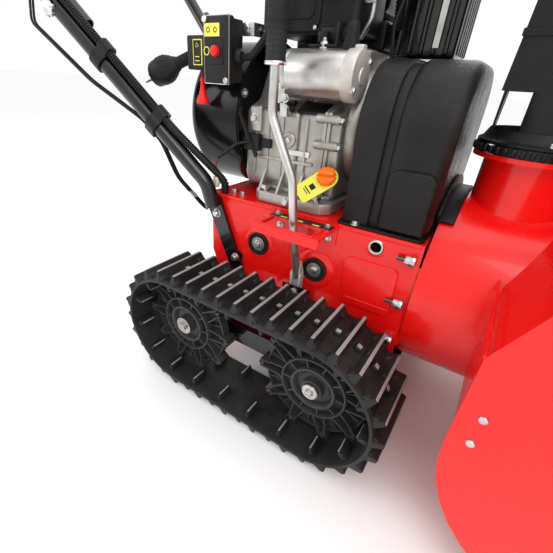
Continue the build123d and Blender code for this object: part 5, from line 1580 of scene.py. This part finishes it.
# ---------------------------------------------------------------- blower, chute and underside
class SNOWBLOWER_OT_flap(bpy.types.Operator):
    """Rubber flap that closes the gap between the belt cover and the drum"""

    bl_idname = "snowblower.flap"
    bl_label = "Rubber flap"

    def execute(self, context):
        bm = start_piece()
        for low, high, start, length in ((124, 187, 287.4, 5.0), (166.2, 171.6, 290.0, 24.0)):
            outline = []
            for step in range(21):
                angle = math.radians(-38 + 3.8 * step)
                outline.append((start, high * math.sin(angle), DRUM_Z + high * math.cos(angle)))
            for step in range(21):
                angle = math.radians(38 - 3.8 * step)
                outline.append((start, low * math.sin(angle), DRUM_Z + low * math.cos(angle)))
            slab(bm, outline, (length, 0, 0), 1.6, 2)
        tint(bm, 0)
        finish_piece(bm, "flap_rubber", "chassis", ("dull_rubber",), ("chute_flap",))
        return {"FINISHED"}


class SNOWBLOWER_OT_blower(bpy.types.Operator):
    """Rolled rims, bolts, rivets and pressed ribs of the auger housing and drum"""

    bl_idname = "snowblower.blower"
    bl_label = "Blower housing trim"

    def execute(self, context):
        bm = start_piece()
        for side in (RIGHT, LEFT):
            bent_bar(bm, [(831, side * HOUSING_SIDE, 66), (831, side * HOUSING_SIDE, 330),
                          (787, side * HOUSING_SIDE, 557), (470, side * HOUSING_SIDE, 557)], 3.6, 10, 3)
        bent_bar(bm, [(396, -344, 406), (396, 344, 406)], 2.0, 10, 3)
        tint(bm, 0)
        for side in (RIGHT, LEFT):
            for x, z in ((512, 528), (600, 528), (690, 528), (770, 528), (420, 330), (420, 290)):
                round_bar(bm, (x, side * 344.5, z), (x, side * 348.0, z), 5.6, 4.6, 20, 0.6)
            for turn in range(4):
                angle = math.tau * (turn + 0.5) / 4
                hex_bolt(bm, (AUGER_X + 34 * math.cos(angle), side * (HOUSING_SIDE + 1),
                              AUGER_Z + 34 * math.sin(angle)),
                         (0, side, 0), 10, 4.5, 7.5)
        for y in (-300, -180, -60, 60, 180, 300):
            round_bar(bm, (586, y, 21.5), (586, y, 24.6), 7, 5.6, 20, 0.6)
        tint(bm, 1)
        finish_piece(bm, "blower_trim", "chassis", ("red_paint", "zinc_plate"))
        bm = start_piece()
        for side in (RIGHT, LEFT):
            turned(bm, [(26, 0), (48, 0), (48, 3), (30, 7), (26, 7)],
                   (AUGER_X, side * (HOUSING_SIDE + 0.5), AUGER_Z), (0, side, 0), 48)
        tint(bm, 0)
        finish_piece(bm, "auger_end_plates", "chassis", ("black_enamel",))
        return {"FINISHED"}


class SNOWBLOWER_OT_chute(bpy.types.Operator):
    """Toothed turning ring, stiffening ribs and rolled lips of the discharge chute"""

    bl_idname = "snowblower.chute"
    bl_label = "Discharge chute trim"

    def execute(self, context):
        bm = start_piece()
        centre = Vector((CHUTE_X, 0, 0))
        turned(bm, [(78, 572), (88, 572), (90, 573.5), (90, 577), (84, 580), (78, 592)], centre, (0, 0, 1),
               72, closed=True)
        for index in range(48):
            turn = Matrix.Translation(centre * MM) @ Matrix.Rotation(math.tau * index / 48, 4, "Z")
            block(bm, (86, 93.4), (-3.0, 3.0), (561, 571), 1.3, 1, at=turn)
        for z in (700, 770, 840):
            lean = {700: 315.5, 770: 318.6, 840: 341.5}[z]
            block(bm, (lean - 2.5, 463.5), (-70.4, -67), (z, z + 9), 1.4, 2)
            block(bm, (lean - 2.5, 463.5), (67, 70.4), (z, z + 9), 1.4, 2)
        for side in (RIGHT, LEFT):
            bent_bar(bm, [(464, side * 68, 662), (462, side * 68, 790), (463, side * 68, 846)], 3.2, 12, 3)
        tint(bm, 0)
        for index in range(3):
            angle = math.tau * index / 3 + 0.6
            place = Vector((CHUTE_X + 84 * math.cos(angle), 84 * math.sin(angle), 578))
            hex_bolt(bm, place, (0, 0, 1), 10, 5, 7)
        tint(bm, 1)
        finish_piece(bm, "chute_trim", "chute", ("black_plastic", "zinc_plate"))
        bm = start_piece()
        for side in (RIGHT, LEFT):
            turned(bm, [(0, 0), (14, 0), (15, 2), (15, 6), (11, 8.5), (0, 8.5)], (404, side * 72, 916),
                   (0, side, 0), 36, closed=False)
            for index in range(5):
                turn = math.tau * index / 5
                out = Vector((math.cos(turn), 0, math.sin(turn)))
                round_bar(bm, Vector((404, side * 73, 916)) + out * 14,
                          Vector((404, side * 80, 916)) + out * 14, 4.4, sides=18, edge=1)
            bent_bar(bm, [(412, side * 70, 970), (458, side * 70, 1008), (518, side * 70, 1024)], 2.6, 14,
                     3)
        tint(bm, 0)
        finish_piece(bm, "deflector_trim", "chute_deflector", ("black_plastic",))
        return {"FINISHED"}


class SNOWBLOWER_OT_tank(bpy.types.Operator):
    """Rounded fuel tank with its seam, neck and ribbed cap, and the recoil grip"""

    bl_idname = "snowblower.tank"
    bl_label = "Fuel tank and pull grip"

    def execute(self, context):
        bm = start_piece()
        block(bm, (-150, 92), (40, 200), (740, 836), 24, 6)
        block(bm, (-152.5, 94.5), (37.5, 202.5), (784, 790), 2.2, 2)
        turned(bm, [(0, 832), (34, 832), (32, 838), (27, 846), (0, 846)], (-60, 120, 0), (0, 0, 1), 56,
               closed=False)
        tint(bm, 0)
        finish_piece(bm, "tank_moulding", "chassis", ("gloss_plastic",), ("fuel_tank",))
        bm = start_piece()
        turned(bm, [(0, 846), (29, 846), (31, 848), (31, 860), (29, 863.4), (24, 864), (0, 864)],
               (-60, 120, 0), (0, 0, 1), 64, closed=False)
        for index in range(24):
            angle = math.tau * index / 24
            place = Vector((-60 + 30.6 * math.cos(angle), 120 + 30.6 * math.sin(angle), 0))
            round_bar(bm, place + Vector((0, 0, 848.5)), place + Vector((0, 0, 861)), 1.7, sides=10)
        block(bm, (-82, -38), (117, 123), (863, 866.5), 1.5, 2)
        tint(bm, 0)
        finish_piece(bm, "ribbed_fuel_cap", "fuel_cap", ("black_plastic",), ("fuel_cap",))
        bm = start_piece()
        turned(bm, [(0, -42.5), (6.5, -42), (9, -38), (8.4, -20), (9.2, 0), (8.4, 20), (9, 38), (6.5, 42),
                    (0, 42.5)],
               (-230, 84, 651), (0, 1, 0), 36, closed=False)
        tint(bm, 0)
        finish_piece(bm, "recoil_grip", "recoil_handle", ("black_plastic",))
        return {"FINISHED"}


# ---------------------------------------------------------------- studio
class SNOWBLOWER_OT_studio(bpy.types.Operator):
    """Pale floor, soft lights and the camera"""

    bl_idname = "snowblower.studio"
    bl_label = "Studio"

    def execute(self, context):
        scene = context.scene
        material = moulding("studio_floor", (0.96, 0.96, 0.96), 0.85, 30.0, 0.02, -0.138)
        bm = bmesh.new()
        bmesh.ops.create_grid(bm, x_segments=8, y_segments=8, size=60.0)
        mesh = bpy.data.meshes.new("floor")
        bm.to_mesh(mesh)
        bm.free()
        mesh.materials.append(material)
        floor = bpy.data.objects.new("floor", mesh)
        scene.collection.objects.link(floor)
        world = bpy.data.worlds.new("studio_sky")
        world.use_nodes = True
        world.node_tree.nodes["Background"].inputs["Color"].default_value = (1.0, 1.0, 1.0, 1.0)
        world.node_tree.nodes["Background"].inputs["Strength"].default_value = 1.0
        scene.world = world
        aim = Vector((0.0, -0.15, 0.45))
        for name, place, width, power in (
                ("key_light", (1.6, -2.2, 2.9), 2.0, 46.0), ("fill_light", (-2.6, -1.9, 1.8), 1.6, 20.0),
                ("back_light", (-0.6, 2.8, 2.4), 2.2, 22.0), ("top_light", (0.2, 0.0, 3.4), 2.0, 14.0)):
            lamp = bpy.data.lights.new(name, "AREA")
            lamp.shape = "SQUARE"
            lamp.size = width
            lamp.energy = power
            holder = bpy.data.objects.new(name, lamp)
            holder.location = place
            holder.rotation_euler = (aim - Vector(place)).to_track_quat("-Z", "Y").to_euler()
            scene.collection.objects.link(holder)
        azimuth = 0.57832
        elevation = 0.53320
        roll = 0.05675
        back = Vector((math.sin(azimuth) * math.cos(elevation), -math.cos(azimuth) * math.cos(elevation),
                       math.sin(elevation)))
        right = (-back).cross(Vector((0, 0, 1))).normalized()
        up = right.cross(-back)
        turned_right = right * math.cos(roll) + up * math.sin(roll)
        turned_up = up * math.cos(roll) - right * math.sin(roll)
        eye = bpy.data.cameras.new("camera")
        eye.sensor_width = 36.0
        eye.lens = 22.725
        eye.shift_x = 0.03235
        eye.shift_y = 0.01644
        eye.clip_start = 0.02
        camera = bpy.data.objects.new("camera", eye)
        place = Matrix((turned_right, turned_up, back)).transposed().to_4x4()
        camera.matrix_world = Matrix.Translation((0.350695, -0.701103, 0.636971)) @ place
        scene.collection.objects.link(camera)
        bpy.context.scene.camera = camera
        scene.view_settings.view_transform = "Standard"
        return {"FINISHED"}


# ---------------------------------------------------------------- panel and registration
OPERATORS = (
    SNOWBLOWER_OT_finishes,
    SNOWBLOWER_OT_tracks,
    SNOWBLOWER_OT_wheels,
    SNOWBLOWER_OT_chassis,
    SNOWBLOWER_OT_lever,
    SNOWBLOWER_OT_guide,
    SNOWBLOWER_OT_crankcase,
    SNOWBLOWER_OT_cowl,
    SNOWBLOWER_OT_starter,
    SNOWBLOWER_OT_switch_box,
    SNOWBLOWER_OT_inlet_plug,
    SNOWBLOWER_OT_cables,
    SNOWBLOWER_OT_engine_top,
    SNOWBLOWER_OT_dipstick,
    SNOWBLOWER_OT_belt_cover,
    SNOWBLOWER_OT_handle,
    SNOWBLOWER_OT_hand_grips,
    SNOWBLOWER_OT_control_panel,
    SNOWBLOWER_OT_flap,
    SNOWBLOWER_OT_blower,
    SNOWBLOWER_OT_chute,
    SNOWBLOWER_OT_tank,
    SNOWBLOWER_OT_studio,
)


class SNOWBLOWER_PT_pieces(bpy.types.Panel):
    """Sidebar list of the snowblower's sizes, colours and pieces"""

    bl_idname = "SNOWBLOWER_PT_pieces"
    bl_label = "Snowblower"
    bl_space_type = "VIEW_3D"
    bl_region_type = "UI"
    bl_category = "Snowblower"

    def draw(self, context):
        sizes = context.scene.snowblower_sizes
        for name in sizes.__annotations__:
            self.layout.prop(sizes, name)
        colours = context.scene.snowblower_colours
        for name in colours.__annotations__:
            self.layout.prop(colours, name)
        for operator in OPERATORS:
            self.layout.operator(operator.bl_idname)


def register():
    bpy.utils.register_class(SnowblowerSizes)
    bpy.utils.register_class(SnowblowerColours)
    for operator in OPERATORS:
        bpy.utils.register_class(operator)
    bpy.utils.register_class(SNOWBLOWER_PT_pieces)
    bpy.types.Scene.snowblower_sizes = bpy.props.PointerProperty(type=SnowblowerSizes)
    bpy.types.Scene.snowblower_colours = bpy.props.PointerProperty(type=SnowblowerColours)


def unregister():
    del bpy.types.Scene.snowblower_colours
    del bpy.types.Scene.snowblower_sizes
    bpy.utils.unregister_class(SNOWBLOWER_PT_pieces)
    for operator in reversed(OPERATORS):
        bpy.utils.unregister_class(operator)
    bpy.utils.unregister_class(SnowblowerColours)
    bpy.utils.unregister_class(SnowblowerSizes)


def main():
    register()
    bpy.ops.snowblower.finishes()
    bpy.ops.snowblower.tracks()
    bpy.ops.snowblower.wheels()
    bpy.ops.snowblower.chassis()
    bpy.ops.snowblower.lever()
    bpy.ops.snowblower.guide()
    bpy.ops.snowblower.crankcase()
    bpy.ops.snowblower.cowl()
    bpy.ops.snowblower.starter()
    bpy.ops.snowblower.switch_box()
    bpy.ops.snowblower.inlet_plug()
    bpy.ops.snowblower.cables()
    bpy.ops.snowblower.engine_top()
    bpy.ops.snowblower.dipstick()
    bpy.ops.snowblower.belt_cover()
    bpy.ops.snowblower.handle()
    bpy.ops.snowblower.hand_grips()
    bpy.ops.snowblower.control_panel()
    bpy.ops.snowblower.flap()
    bpy.ops.snowblower.blower()
    bpy.ops.snowblower.chute()
    bpy.ops.snowblower.tank()
    bpy.ops.snowblower.studio()


if __name__ == "__main__":
    main()
